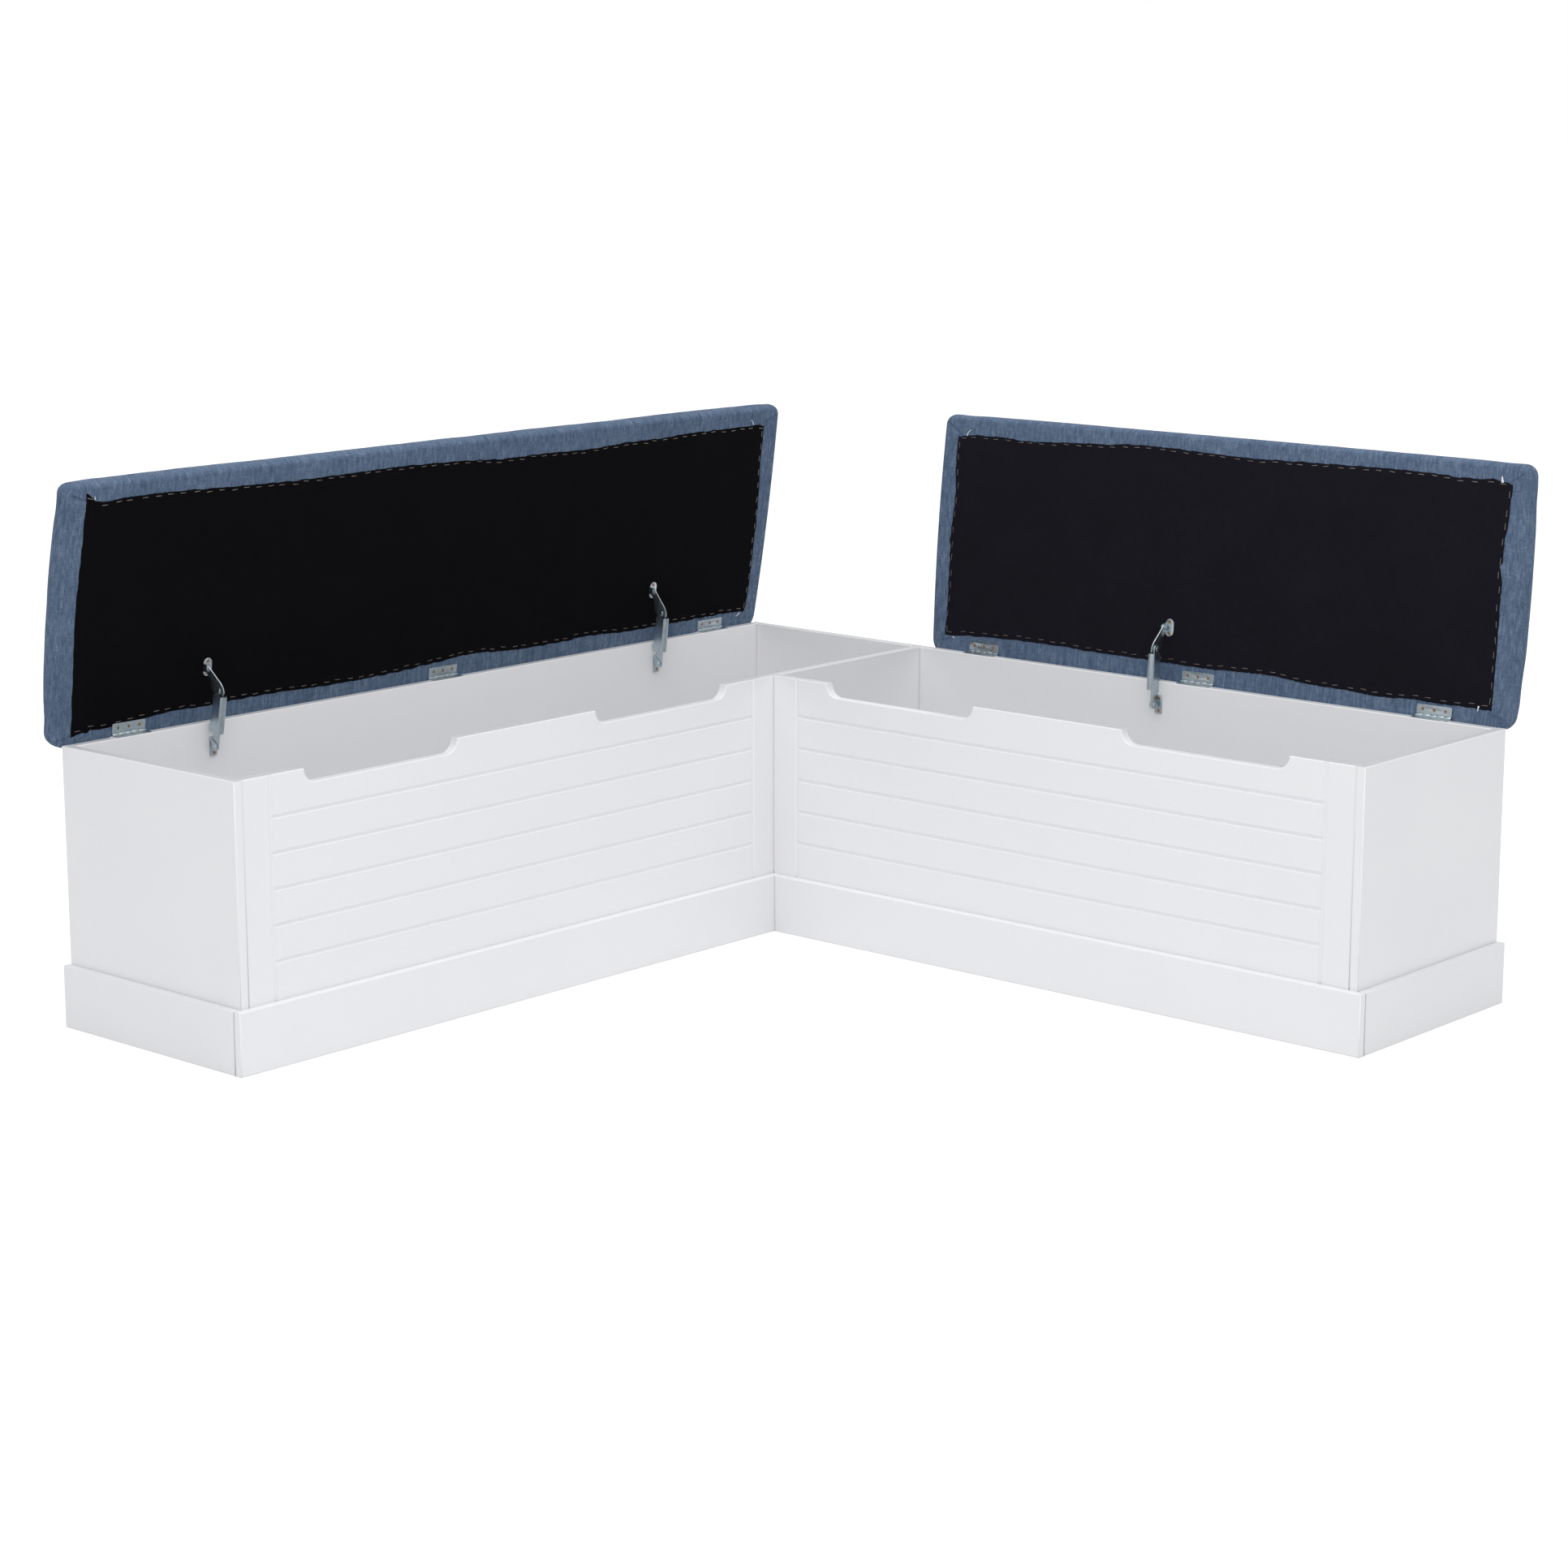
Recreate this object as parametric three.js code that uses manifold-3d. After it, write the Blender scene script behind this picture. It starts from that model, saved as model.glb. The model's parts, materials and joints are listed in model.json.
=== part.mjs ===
import * as THREE from 'three';
import { mergeVertices } from 'three/addons/utils/BufferGeometryUtils.js';
import Module from 'manifold-3d';

// Corner storage bench with two padded lids, in millimetres, +Z up.
// The origin is at floor level in the outer back corner, halfway through the boards that meet there.
// The left arm runs along -X and the right arm along -Y. Both lids stand open, as photographed.

// Case
const caseHeight = 425;
const leftLength = 1525;
const rightLength = 1520;
const caseDepth = 390;
const boardThickness = 15;
const boardArris = 1;
const boardSeam = 0.25;
const bottomThickness = 12;
const bottomLift = 30;

// Plinth boards
const plinthHeight = 95;
const plinthThickness = 14;
const plinthRound = 2;

// Routed grooves of the fronts
const grooveWidth = 7;
const grooveDepth = 2.2;
const grooveInset = 50;
const topGrooveDrop = 61.5;
const groovePitch = 52.75;
const grooveCount = 5;

// Finger notches of the fronts
const notchWidth = 300;
const notchDepth = 22;
const notchInset = 264;

// Lids
const leftOpenAngle = THREE.MathUtils.degToRad(81);
const rightOpenAngle = THREE.MathUtils.degToRad(95);
const leftLidOverhang = 5;
const rightLidSetback = 1;
const lidGap = 11;
const lidFrontSetback = 5.2;
const lidRear = 3.2;
const lidCorner = 20;
const lidBoardThickness = 12;
const lidBoardInset = 7;
const coverThickness = 1.2;
const coverFlange = 22;
const dustClothThickness = 1;
const edgeHeight = 36;
const crownHeight = 58;
const edgeBulge = 4;
const lowerRound = 5;
const upperRound = 14;
const endBow = 2;
const sideBow = 2;

// Hinges
const hingeLength = 62;
const hingeLeafWidth = 17.5;
const hingeLeafThickness = 1;
const hingeLeafSpacing = 0.4;
const hingeLeafCorner = 1.5;
const knuckleRadius = 2.6;
const hingePinRadius = 1.05;
const hingeOutset = 3.2;
const hingeScrewPitch = 20;
const hingeScrewHole = 2;
const leftHingeInsets = { corner: 119, outer: 131 };
const rightHingeInsets = { corner: 114, outer: 127 };

// Lid stays
const seatGap = 0.3;
const lowerArmLength = 90;
const kneeSpare = 4.6;
const kneeSlack = 3;
const plateGap = 0.4;
const wallPivotOffset = 11.3;
const wallPivotDrop = 38.5;
const lidPivotOffset = 8;
const lowerArmWidth = 14;
const lowerArmThickness = 1.8;
const camArmWidth = 9;
const camArmThickness = 2;
const camArmEndRadius = 5.5;
const camLobeRadius = 13;
const camLobeAlong = 7.7;
const camLobeAside = 1.3;
const camNoseAlong = -10.4;
const camNoseAside = 6.3;
const rivetRadius = 2.2;
const rivetHeadRadius = 4;
const rivetHeadHeight = 0.8;
const sleeveSheet = 1.2;
const sleeveCheekGap = 5.2;
const sleeveStart = 25;
const sleeveKneeGap = 8;
const sleeveBack = 6;
const sleeveTubeOffset = 12;
const sleeveTubeRadius = 6;
const springWire = 1.4;
const springStart = 28;
const springLength = 40;
const springTurns = 8;
const wallPlateWidth = 13;
const wallPlateHeight = 30;
const wallPlateAbovePivot = 14.5;
const wallPlateThickness = 2;
const wallEarRadius = 6.5;
const lidPillWidth = 16;
const lidPillLength = 28.5;
const lidPillThickness = 1.5;
const lidEarRadius = 6;
const bracketScrewHole = 2;
const lidScrewPitch = 19;
const wallScrewPitch = 20;
const outerStay = { inset: 270.4, reach: 83.5 };
const innerStay = { inset: 280.5, reach: 89 };
const rightStay = { inset: 486.2, reach: 83.5 };

// Cutting overrun, and half the numbers of facets on arcs, screw holes and round pieces
const overrun = 1;
const arcSteps = 3;
const holeSteps = 4;
const roundSteps = 5;

// Points round a cushion, and facets of a coil
const cornerSteps = 3;
const longSideSteps = 6;
const shortSideSteps = 2;
const springSides = 5;
const springTurnSteps = 8;

// How the cushion's edge and crown curve
const edgeFullnessPower = 0.7;
const crownLengthPower = 6;
const crownDepthPower = 2;
const innerCornerShare = 0.25;
const crownRingShares = [0, 0.15, 0.35, 0.6, 0.85];
const edgeAngles = [-90, -60, -30, 0, 30, 60].map((angle) => THREE.MathUtils.degToRad(angle));

// Sizes that follow from the ones above
const axisLift = seatGap + hingeLeafThickness + hingeLeafSpacing / 2;
const axisHeight = caseHeight + axisLift;
const wallFace = hingeOutset + boardThickness;
const wallPivot = new THREE.Vector2(wallFace + wallPivotOffset, -wallPivotDrop);
const lidBoardLift = coverThickness + seatGap;
const lidFront = caseDepth - lidFrontSetback + hingeOutset;
const quarterTurn = Math.PI / 2;

// Materials
const paint = new THREE.MeshStandardMaterial({ color: '#ececee', roughness: 0.45, metalness: 0 });
const blueFabric = new THREE.MeshStandardMaterial({ color: '#5f7796', roughness: 0.95, metalness: 0 });
const blackCloth = new THREE.MeshStandardMaterial({ color: '#131317', roughness: 0.95, metalness: 0 });
const foam = new THREE.MeshStandardMaterial({ color: '#e8dfb8', roughness: 0.9, metalness: 0 });
const plainBoard = new THREE.MeshStandardMaterial({ color: '#b89468', roughness: 0.8, metalness: 0 });
const zincSteel = new THREE.MeshStandardMaterial({ color: '#a9b4bd', roughness: 0.35, metalness: 1 });

const wasm = await Module();
wasm.setup();

// Closed geometry as a solid that can be joined and cut
function solidOf(geometry) {
  const bare = geometry.clone();
  bare.deleteAttribute('normal');
  bare.deleteAttribute('uv');
  const merged = mergeVertices(bare);
  return new wasm.Manifold(new wasm.Mesh({
    numProp: 3,
    vertProperties: merged.attributes.position.array,
    triVerts: Uint32Array.from(merged.index.array),
  }));
}

// A solid's surface as a geometry
function geometryOf(solid) {
  const surface = solid.getMesh();
  const geometry = new THREE.BufferGeometry();
  geometry.setAttribute('position', new THREE.BufferAttribute(surface.vertProperties, 3));
  geometry.setIndex(new THREE.BufferAttribute(surface.triVerts, 1));
  geometry.computeVertexNormals();
  return geometry;
}

function joined(geometries) {
  return geometryOf(geometries.map(solidOf).reduce((whole, piece) => whole.add(piece)));
}

function cut(geometry, cutters) {
  return geometryOf(cutters.map(solidOf).reduce((rest, cutter) => rest.subtract(cutter), solidOf(geometry)));
}

function addMesh(parent, name, geometry, material) {
  const mesh = new THREE.Mesh(geometry, material);
  mesh.name = name;
  parent.add(mesh);
  return mesh;
}

// A flat outline made thick without any chamfer
function plate(shape, thickness, steps = arcSteps) {
  return new THREE.ExtrudeGeometry(shape, { depth: thickness, bevelEnabled: false, curveSegments: steps });
}

// A flat outline made thick, with both faces chamfered or rounded at their edges
function edgedPlate(shape, thickness, edge, edgeSteps) {
  const geometry = new THREE.ExtrudeGeometry(shape, {
    depth: thickness - 2 * edge,
    bevelThickness: edge,
    bevelSize: edge,
    bevelOffset: -edge,
    bevelSegments: edgeSteps,
    curveSegments: arcSteps,
  });
  geometry.translate(0, 0, edge);
  return geometry;
}

function rectangle(left, bottom, right, top) {
  const shape = new THREE.Shape();
  shape.moveTo(left, bottom);
  shape.lineTo(right, bottom);
  shape.lineTo(right, top);
  shape.lineTo(left, top);
  shape.closePath();
  return shape;
}

function disc(x, y, radius) {
  const shape = new THREE.Shape();
  shape.absarc(x, y, radius, 0, 2 * Math.PI);
  return shape;
}

// A round-ended bar between two heights on the y axis
function stadium(x, bottom, top, radius) {
  const shape = new THREE.Shape();
  shape.absarc(x, bottom, radius, Math.PI, 2 * Math.PI);
  shape.absarc(x, top, radius, 0, Math.PI);
  shape.closePath();
  return shape;
}

// A geometry carried onto other axes
function onAxes(geometry, xAxis, yAxis, zAxis) {
  geometry.applyMatrix4(new THREE.Matrix4().makeBasis(xAxis, yAxis, zAxis));
  return geometry;
}

const axisX = new THREE.Vector3(1, 0, 0);
const axisY = new THREE.Vector3(0, 1, 0);
const axisZ = new THREE.Vector3(0, 0, 1);

// A plate drawn as front and up, stood on edge so that its thickness runs sideways
function onEdge(geometry, side) {
  geometry.translate(0, 0, side);
  return onAxes(geometry, axisY, axisZ, axisX);
}

// A board between two corners, lying flat or facing the front or the side
function addBoard(parent, name, low, high, edge = boardArris, edgeSteps = 1) {
  const size = new THREE.Vector3().subVectors(high, low);
  const thickness = Math.min(size.x, size.y, size.z);
  const flat = thickness === size.z;
  const facingFront = thickness === size.y;
  const across = facingFront || flat ? size.x : size.y;
  const rise = flat ? size.y : size.z;
  const geometry = edgedPlate(rectangle(0, 0, across, rise), thickness, edge, edgeSteps);
  const board = addMesh(parent, name, geometry, paint);
  board.position.copy(low);
  if (facingFront) {
    board.rotation.x = quarterTurn;
    board.position.y = high.y;
  } else if (!flat) {
    board.rotation.set(quarterTurn, quarterTurn, 0);
  }
  return board;
}

function corner(x, y, z) {
  return new THREE.Vector3(x, y, z);
}

// A round-bottomed groove cutter: drawn across and into the face, run along its length
function grooveCutter(length) {
  const half = grooveWidth / 2;
  const radius = (half ** 2 + grooveDepth ** 2) / (2 * grooveDepth);
  const spread = Math.asin(half / radius);
  const shape = new THREE.Shape();
  shape.moveTo(half, -overrun);
  shape.lineTo(half, 0);
  shape.absarc(0, grooveDepth - radius, radius, quarterTurn - spread, quarterTurn + spread);
  shape.lineTo(-half, -overrun);
  shape.closePath();
  return plate(shape, length);
}

// A grooved front with two finger notches, drawn face up: x along it, y up, z into the board
function frontGeometry(length) {
  const outline = new THREE.Shape();
  outline.moveTo(0, 0);
  outline.lineTo(length, 0);
  outline.lineTo(length, caseHeight);
  for (const centre of [length - notchInset, notchInset]) {
    const side = notchWidth / 2 - notchDepth;
    outline.lineTo(centre + notchWidth / 2, caseHeight);
    outline.absarc(centre + side, caseHeight, notchDepth, 0, -quarterTurn, true);
    outline.absarc(centre - side, caseHeight, notchDepth, -quarterTurn, -Math.PI, true);
  }
  outline.lineTo(0, caseHeight);
  outline.closePath();

  const cutters = [grooveInset, length - grooveInset].map((along) => {
    const cutter = onAxes(grooveCutter(caseHeight + 2 * overrun), axisX.clone().negate(), axisZ, axisY);
    return cutter.translate(along, -overrun, 0);
  });
  for (let row = 0; row < grooveCount; row += 1) {
    const cutter = onAxes(grooveCutter(length - 2 * grooveInset), axisY, axisZ, axisX);
    cutters.push(cutter.translate(grooveInset, caseHeight - topGrooveDrop - row * groovePitch, 0));
  }
  return cut(edgedPlate(outline, boardThickness, boardArris, 1), cutters);
}

function addFront(parent, name, from, to) {
  const front = addMesh(parent, name, frontGeometry(to - from), paint);
  front.rotation.x = quarterTurn;
  front.position.set(from, caseDepth, 0);
}

// The arm's case boards. Here x runs from the corner to the viewer's left and y to the front.
function addLeftCase(box) {
  const inner = leftLength - boardThickness;
  const frontBack = caseDepth - boardThickness;
  const floorTop = bottomLift + bottomThickness;
  addBoard(box, 'left_end', corner(inner, 0, 0), corner(leftLength, caseDepth, caseHeight));
  addBoard(box, 'left_back', corner(0, 0, 0), corner(inner - boardSeam, boardThickness, caseHeight));
  addBoard(
    box,
    'corner_end',
    corner(0, boardThickness + boardSeam, 0),
    corner(boardThickness, frontBack - boardSeam, caseHeight),
  );
  addBoard(box, 'divider', corner(0, frontBack, 0), corner(caseDepth - boardSeam, caseDepth, caseHeight));
  addFront(box, 'left_front', caseDepth, inner - boardSeam);
  addBoard(
    box,
    'left_bottom',
    corner(boardThickness + boardSeam, boardThickness + boardSeam, bottomLift),
    corner(inner - boardSeam, frontBack - boardSeam, floorTop),
  );
}

function addRightCase(box) {
  const outer = boardThickness - rightLength;
  const near = -caseDepth - boardSeam;
  const frontBack = caseDepth - boardThickness;
  const floorTop = bottomLift + bottomThickness;
  addBoard(box, 'right_end', corner(-rightLength, 0, 0), corner(outer, caseDepth, caseHeight));
  addBoard(box, 'right_back', corner(outer + boardSeam, 0, 0), corner(near, boardThickness, caseHeight));
  addFront(box, 'right_front', outer + boardSeam, near);
  addBoard(
    box,
    'right_bottom',
    corner(outer + boardSeam, boardThickness + boardSeam, bottomLift),
    corner(near, frontBack - boardSeam, floorTop),
  );
}

// Plinth boards stand in front of the case and cover the ends of the plinth boards beside it
function addPlinths(leftBox, rightBox) {
  const face = caseDepth + boardSeam;
  const outerFace = face + plinthThickness;
  const leftEnd = leftLength + boardSeam;
  const rightEnd = -rightLength - boardSeam;
  const leftFace = leftEnd + plinthThickness;
  const rightFace = rightEnd - plinthThickness;
  const boards = [
    [leftBox, 'left_front_plinth', [face, face], [leftFace, outerFace]],
    [leftBox, 'left_end_plinth', [leftEnd, 0], [leftFace, caseDepth]],
    [rightBox, 'right_front_plinth', [rightFace, face], [-outerFace - boardSeam, outerFace]],
    [rightBox, 'right_end_plinth', [rightFace, 0], [rightEnd, caseDepth]],
  ];
  for (const [box, name, low, high] of boards) {
    addBoard(box, name, corner(...low, 0), corner(...high, plinthHeight), plinthRound, 2);
  }
}

// Rounded rectangle with slightly bowed sides, drawn counterclockwise round its centre
function cushionOutline(halfLength, halfDepth, inset) {
  const a = halfLength - inset;
  const b = halfDepth - inset;
  const radius = Math.min(Math.max(lidCorner - inset, lidCorner * innerCornerShare), b);
  const quadrants = [[1, 1], [-1, 1], [-1, -1], [1, -1]];
  const points = [];
  quadrants.forEach(([sideX, sideY], index) => {
    for (let step = 0; step <= cornerSteps; step += 1) {
      const angle = (index + step / cornerSteps) * quarterTurn;
      const x = sideX * (a - radius) + radius * Math.cos(angle);
      const y = sideY * (b - radius) + radius * Math.sin(angle);
      points.push(new THREE.Vector2(x, y));
    }
    const [nextX, nextY] = quadrants[(index + 1) % quadrants.length];
    const last = points[points.length - 1];
    const nextAngle = (index + 1) * quarterTurn;
    const next = new THREE.Vector2(
      nextX * (a - radius) + radius * Math.cos(nextAngle),
      nextY * (b - radius) + radius * Math.sin(nextAngle),
    );
    const steps = nextX === sideX ? shortSideSteps : longSideSteps;
    for (let step = 1; step < steps; step += 1) {
      points.push(last.clone().lerp(next, step / steps));
    }
  });
  return points.map((point) => new THREE.Vector2(
    point.x * (1 + (endBow / halfLength) * (1 - (point.y / halfDepth) ** 2)),
    point.y * (1 + (sideBow / halfDepth) * (1 - (point.x / halfLength) ** 2)),
  ));
}

// The two triangles of a skin's quad, split along the diagonal that lies higher
function quadFaces(points, a, b, c, d) {
  if (points[a].z + points[c].z > points[b].z + points[d].z) {
    return [a, b, c, a, c, d];
  }
  return [a, b, d, b, c, d];
}

// A closed skin through a stack of rings, closed by a fan at each end
function loft(rings, firstPoint, lastPoint) {
  const count = rings[0].length;
  const points = [...rings.flat(), firstPoint, lastPoint];
  const first = points.length - 2;
  const last = points.length - 1;
  const lastRing = (rings.length - 1) * count;
  const faces = [];
  for (let side = 0; side < count; side += 1) {
    const next = (side + 1) % count;
    faces.push(first, next, side);
    faces.push(last, lastRing + side, lastRing + next);
    for (let ring = 0; ring < rings.length - 1; ring += 1) {
      const low = ring * count;
      const high = low + count;
      faces.push(...quadFaces(points, low + side, low + next, high + next, high + side));
    }
  }
  const geometry = new THREE.BufferGeometry().setFromPoints(points);
  geometry.setIndex(faces);
  geometry.computeVertexNormals();
  return geometry;
}

// Inset and height of the cushion's skin, a given depth under its outer surface, round the edge
function edgePlace(angle, depth) {
  const round = angle < 0 ? lowerRound : upperRound;
  const fullness = Math.max(Math.cos(angle), 0) ** edgeFullnessPower;
  return {
    inset: round - (round + edgeBulge) * fullness + depth,
    height: depth + (edgeHeight / 2 - depth) * (1 + Math.sin(angle)),
  };
}

// The same on the crown, at a share of the way from the edge to the middle
function crownPlace(share, halfDepth, depth) {
  const inset = upperRound + depth + (halfDepth - upperRound - depth) * share;
  return { inset, height: edgeHeight - depth, crowned: true };
}

// How far the crown rises over the edge at a point of the cushion
function crownLift(point, halfLength, halfDepth) {
  const along = Math.min(Math.abs(point.x) / (halfLength - upperRound), 1);
  const across = Math.min(Math.abs(point.y) / (halfDepth - upperRound), 1);
  return (crownHeight - edgeHeight) * (1 - along ** crownLengthPower) * (1 - across ** crownDepthPower);
}

function cushionRing(halfLength, halfDepth, place) {
  return cushionOutline(halfLength, halfDepth, place.inset).map((point) => {
    const lift = place.crowned ? crownLift(point, halfLength, halfDepth) : 0;
    return new THREE.Vector3(point.x, point.y, place.height + lift);
  });
}

// Places on the skin from its underside edge to its crown
function skinPlaces(halfDepth, depth) {
  const edge = edgeAngles.map((angle) => edgePlace(angle, depth));
  const crown = crownRingShares.map((share) => crownPlace(share, halfDepth, depth));
  return [...edge, ...crown];
}

// The places above a level, starting with one on the skin at that level
function placesFrom(level, places) {
  const above = places.filter((place) => place.height > level);
  const below = places[places.length - above.length - 1];
  const share = (level - below.height) / (above[0].height - below.height);
  const inset = THREE.MathUtils.lerp(below.inset, above[0].inset, share);
  return [{ inset, height: level }, ...above];
}

// The fabric cover: a skin over the pad and board, turned in under the board's edge
function coverGeometry(halfLength, halfDepth) {
  const ring = (place) => cushionRing(halfLength, halfDepth, place);
  const outside = skinPlaces(halfDepth, 0).map(ring);
  const inside = skinPlaces(halfDepth, coverThickness).map(ring).reverse();
  const window = [coverThickness, 0].map((height) => ring({ inset: coverFlange, height }));
  return loft(
    [...inside, ...window, ...outside],
    new THREE.Vector3(0, 0, crownHeight - coverThickness),
    new THREE.Vector3(0, 0, crownHeight),
  );
}

// The foam pad: it fills the cover from the board up
function padGeometry(halfLength, halfDepth) {
  const depth = coverThickness + seatGap;
  const underside = lidBoardLift + lidBoardThickness + seatGap;
  const places = placesFrom(underside, skinPlaces(halfDepth, depth));
  return loft(
    places.map((place) => cushionRing(halfLength, halfDepth, place)),
    new THREE.Vector3(0, 0, underside),
    new THREE.Vector3(0, 0, crownHeight - depth),
  );
}

// A lid about its hinge axis: x to the viewer's left, y from the axis to the front edge, z up when closed
function addLid(lid, side, from, to) {
  const halfLength = (to - from) / 2;
  const halfDepth = (lidFront - lidRear) / 2;
  const middle = new THREE.Vector3((from + to) / 2, (lidFront + lidRear) / 2, axisLift);
  const cushion = new THREE.Group();
  cushion.position.copy(middle);
  lid.add(cushion);

  const boardShape = new THREE.Shape(cushionOutline(halfLength, halfDepth, lidBoardInset));
  const clothShape = new THREE.Shape(cushionOutline(halfLength, halfDepth, coverFlange + seatGap));
  const lidBoard = addMesh(cushion, `${side}_lid_board`, plate(boardShape, lidBoardThickness), plainBoard);
  lidBoard.position.z = lidBoardLift;
  addMesh(cushion, `${side}_lid_pad`, padGeometry(halfLength, halfDepth), foam);
  addMesh(cushion, `${side}_lid_cover`, coverGeometry(halfLength, halfDepth), blueFabric);
  addMesh(cushion, `${side}_lid_dust_cloth`, plate(clothShape, dustClothThickness), blackCloth);
}

// One hinge leaf: a flat plate with screw holes, curled round the pin at every other knuckle.
// It is drawn with the pin along x and the plate towards y, just under the pin's level.
function leafGeometry(firstKnuckle) {
  const knuckles = 5;
  const pitch = hingeLength / knuckles;
  const half = hingeLength / 2;
  const clearOfKnuckles = knuckleRadius + seatGap;
  const bore = hingePinRadius + seatGap;
  const inWall = (bore + knuckleRadius) / 2;

  const outline = new THREE.Shape();
  outline.moveTo(-half, clearOfKnuckles);
  outline.lineTo(half, clearOfKnuckles);
  outline.lineTo(half, hingeLeafWidth - hingeLeafCorner);
  outline.lineTo(half - hingeLeafCorner, hingeLeafWidth);
  outline.lineTo(hingeLeafCorner - half, hingeLeafWidth);
  outline.lineTo(-half, hingeLeafWidth - hingeLeafCorner);
  outline.closePath();
  const screwLine = (hingeOutset + hingeLeafWidth) / 2;
  for (const place of [-hingeScrewPitch, 0, hingeScrewPitch]) {
    outline.holes.push(disc(place, screwLine, hingeScrewHole));
  }
  const leaf = plate(outline, hingeLeafThickness, holeSteps);
  const bottom = -hingeLeafSpacing / 2 - hingeLeafThickness;
  const pieces = [leaf.translate(0, 0, bottom)];

  const ring = disc(0, 0, knuckleRadius);
  ring.holes.push(disc(0, 0, bore));
  for (let index = firstKnuckle; index < knuckles; index += 2) {
    const start = index * pitch - half + (index > 0 ? seatGap : 0);
    const length = (index + 1) * pitch - half - start;
    const knuckle = onAxes(plate(ring, length, roundSteps), axisY, axisZ, axisX);
    const tongueShape = rectangle(start, inWall, start + length, clearOfKnuckles + overrun);
    const tongue = plate(tongueShape, hingeLeafThickness);
    pieces.push(knuckle.translate(start, 0, 0), tongue.translate(0, 0, bottom));
  }
  return joined(pieces);
}

// Three hinges join a lid to the wall's top edge, with their barrels outside the wall
function addHinges(box, lid, side, axisPlace, places) {
  places.forEach((place, index) => {
    const name = `${side}_hinge_${index + 1}`;
    const wallLeaf = addMesh(box, `${name}_wall_leaf`, leafGeometry(0), zincSteel);
    wallLeaf.position.set(place, axisPlace.y, axisPlace.z);
    const pinShape = new THREE.CylinderGeometry(hingePinRadius, hingePinRadius, hingeLength, 2 * roundSteps);
    const pin = addMesh(box, `${name}_pin`, pinShape.rotateZ(quarterTurn), zincSteel);
    pin.position.copy(wallLeaf.position);
    const lidLeaf = addMesh(lid, `${name}_lid_leaf`, leafGeometry(1).scale(1, 1, -1), zincSteel);
    lidLeaf.position.x = place;
    flipFaces(lidLeaf.geometry);
  });
}

// A mirrored geometry has its faces turned over again
function flipFaces(geometry) {
  const index = geometry.index.array;
  for (let face = 0; face < index.length; face += 3) {
    [index[face + 1], index[face + 2]] = [index[face + 2], index[face + 1]];
  }
  geometry.computeVertexNormals();
}

// Sideways places of the stay's plates, from the viewer's right to the left
const armRight = -(sleeveCheekGap / 2 - seatGap);
const armLeft = armRight + lowerArmThickness;
const camRight = armLeft + plateGap;
const camLeft = camRight + camArmThickness;
const earLeft = armLeft + seatGap + wallPlateThickness;
const lidEarRight = camLeft + seatGap;

// A rivet drawn along z between two places, its head beyond the far one
function rivet(x, y, from, to) {
  const shaft = plate(disc(x, y, rivetRadius), Math.abs(to - from), roundSteps);
  shaft.translate(0, 0, Math.min(from, to));
  const head = plate(disc(x, y, rivetHeadRadius), rivetHeadHeight, roundSteps);
  head.translate(0, 0, to < from ? to - rivetHeadHeight : to);
  return [shaft, head];
}

// Where the lid end of a stay's cam arm turns, from the hinge axis: to the front and up
function lidPivot(stay, openAngle) {
  const along = stay.reach;
  const below = lidPivotOffset - axisLift;
  return new THREE.Vector2(
    along * Math.cos(openAngle) + below * Math.sin(openAngle),
    along * Math.sin(openAngle) - below * Math.cos(openAngle),
  );
}

const staySpans = [[outerStay, leftOpenAngle], [innerStay, leftOpenAngle], [rightStay, rightOpenAngle]].map(
  ([stay, angle]) => lidPivot(stay, angle).distanceTo(wallPivot),
);
const camArmLength = Math.max(...staySpans) + kneeSpare - lowerArmLength;

// The knee lies where both arms reach, on the front side of the line between their pivots
function kneePlace(end) {
  const line = end.clone().sub(wallPivot);
  const span = line.length();
  const along = (lowerArmLength ** 2 - camArmLength ** 2 + span ** 2) / (2 * span);
  const aside = Math.sqrt(lowerArmLength ** 2 - along ** 2);
  line.divideScalar(span);
  const square = new THREE.Vector2(line.y, -line.x);
  return wallPivot.clone().addScaledVector(line, along).addScaledVector(square, aside);
}

// Screwed to the wall's inner face: a plate, and an ear that holds the lower arm's rivet
function wallBracketGeometry() {
  const back = wallFace + seatGap;
  const top = wallPivot.y + wallPlateAbovePivot;
  const bottom = top - wallPlateHeight;
  const screwLine = earLeft - wallPlateThickness - (wallPlateWidth - wallPlateThickness) / 2;
  const wallPlate = rectangle(earLeft - wallPlateWidth, bottom, earLeft, top);
  const screwInset = (wallPlateHeight - wallScrewPitch) / 2;
  for (const height of [top - screwInset, bottom + screwInset]) {
    wallPlate.holes.push(disc(screwLine, height, bracketScrewHole));
  }
  const seated = onAxes(plate(wallPlate, wallPlateThickness, holeSteps), axisX, axisZ, axisY.clone().negate());
  seated.translate(0, back + wallPlateThickness, 0);

  const ear = new THREE.Shape();
  ear.moveTo(back + wallPlateThickness / 2, bottom + wallEarRadius / 2);
  ear.absarc(wallPivot.x, wallPivot.y, wallEarRadius, -quarterTurn, quarterTurn / 2);
  ear.lineTo(back + wallPlateThickness / 2, top);
  ear.closePath();
  const pieces = [plate(ear, wallPlateThickness).translate(0, 0, earLeft - wallPlateThickness)];
  pieces.push(...rivet(wallPivot.x, wallPivot.y, earLeft - wallPlateThickness / 2, armRight - seatGap));
  return joined([seated, ...pieces.map((piece) => onEdge(piece, 0))]);
}

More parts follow.
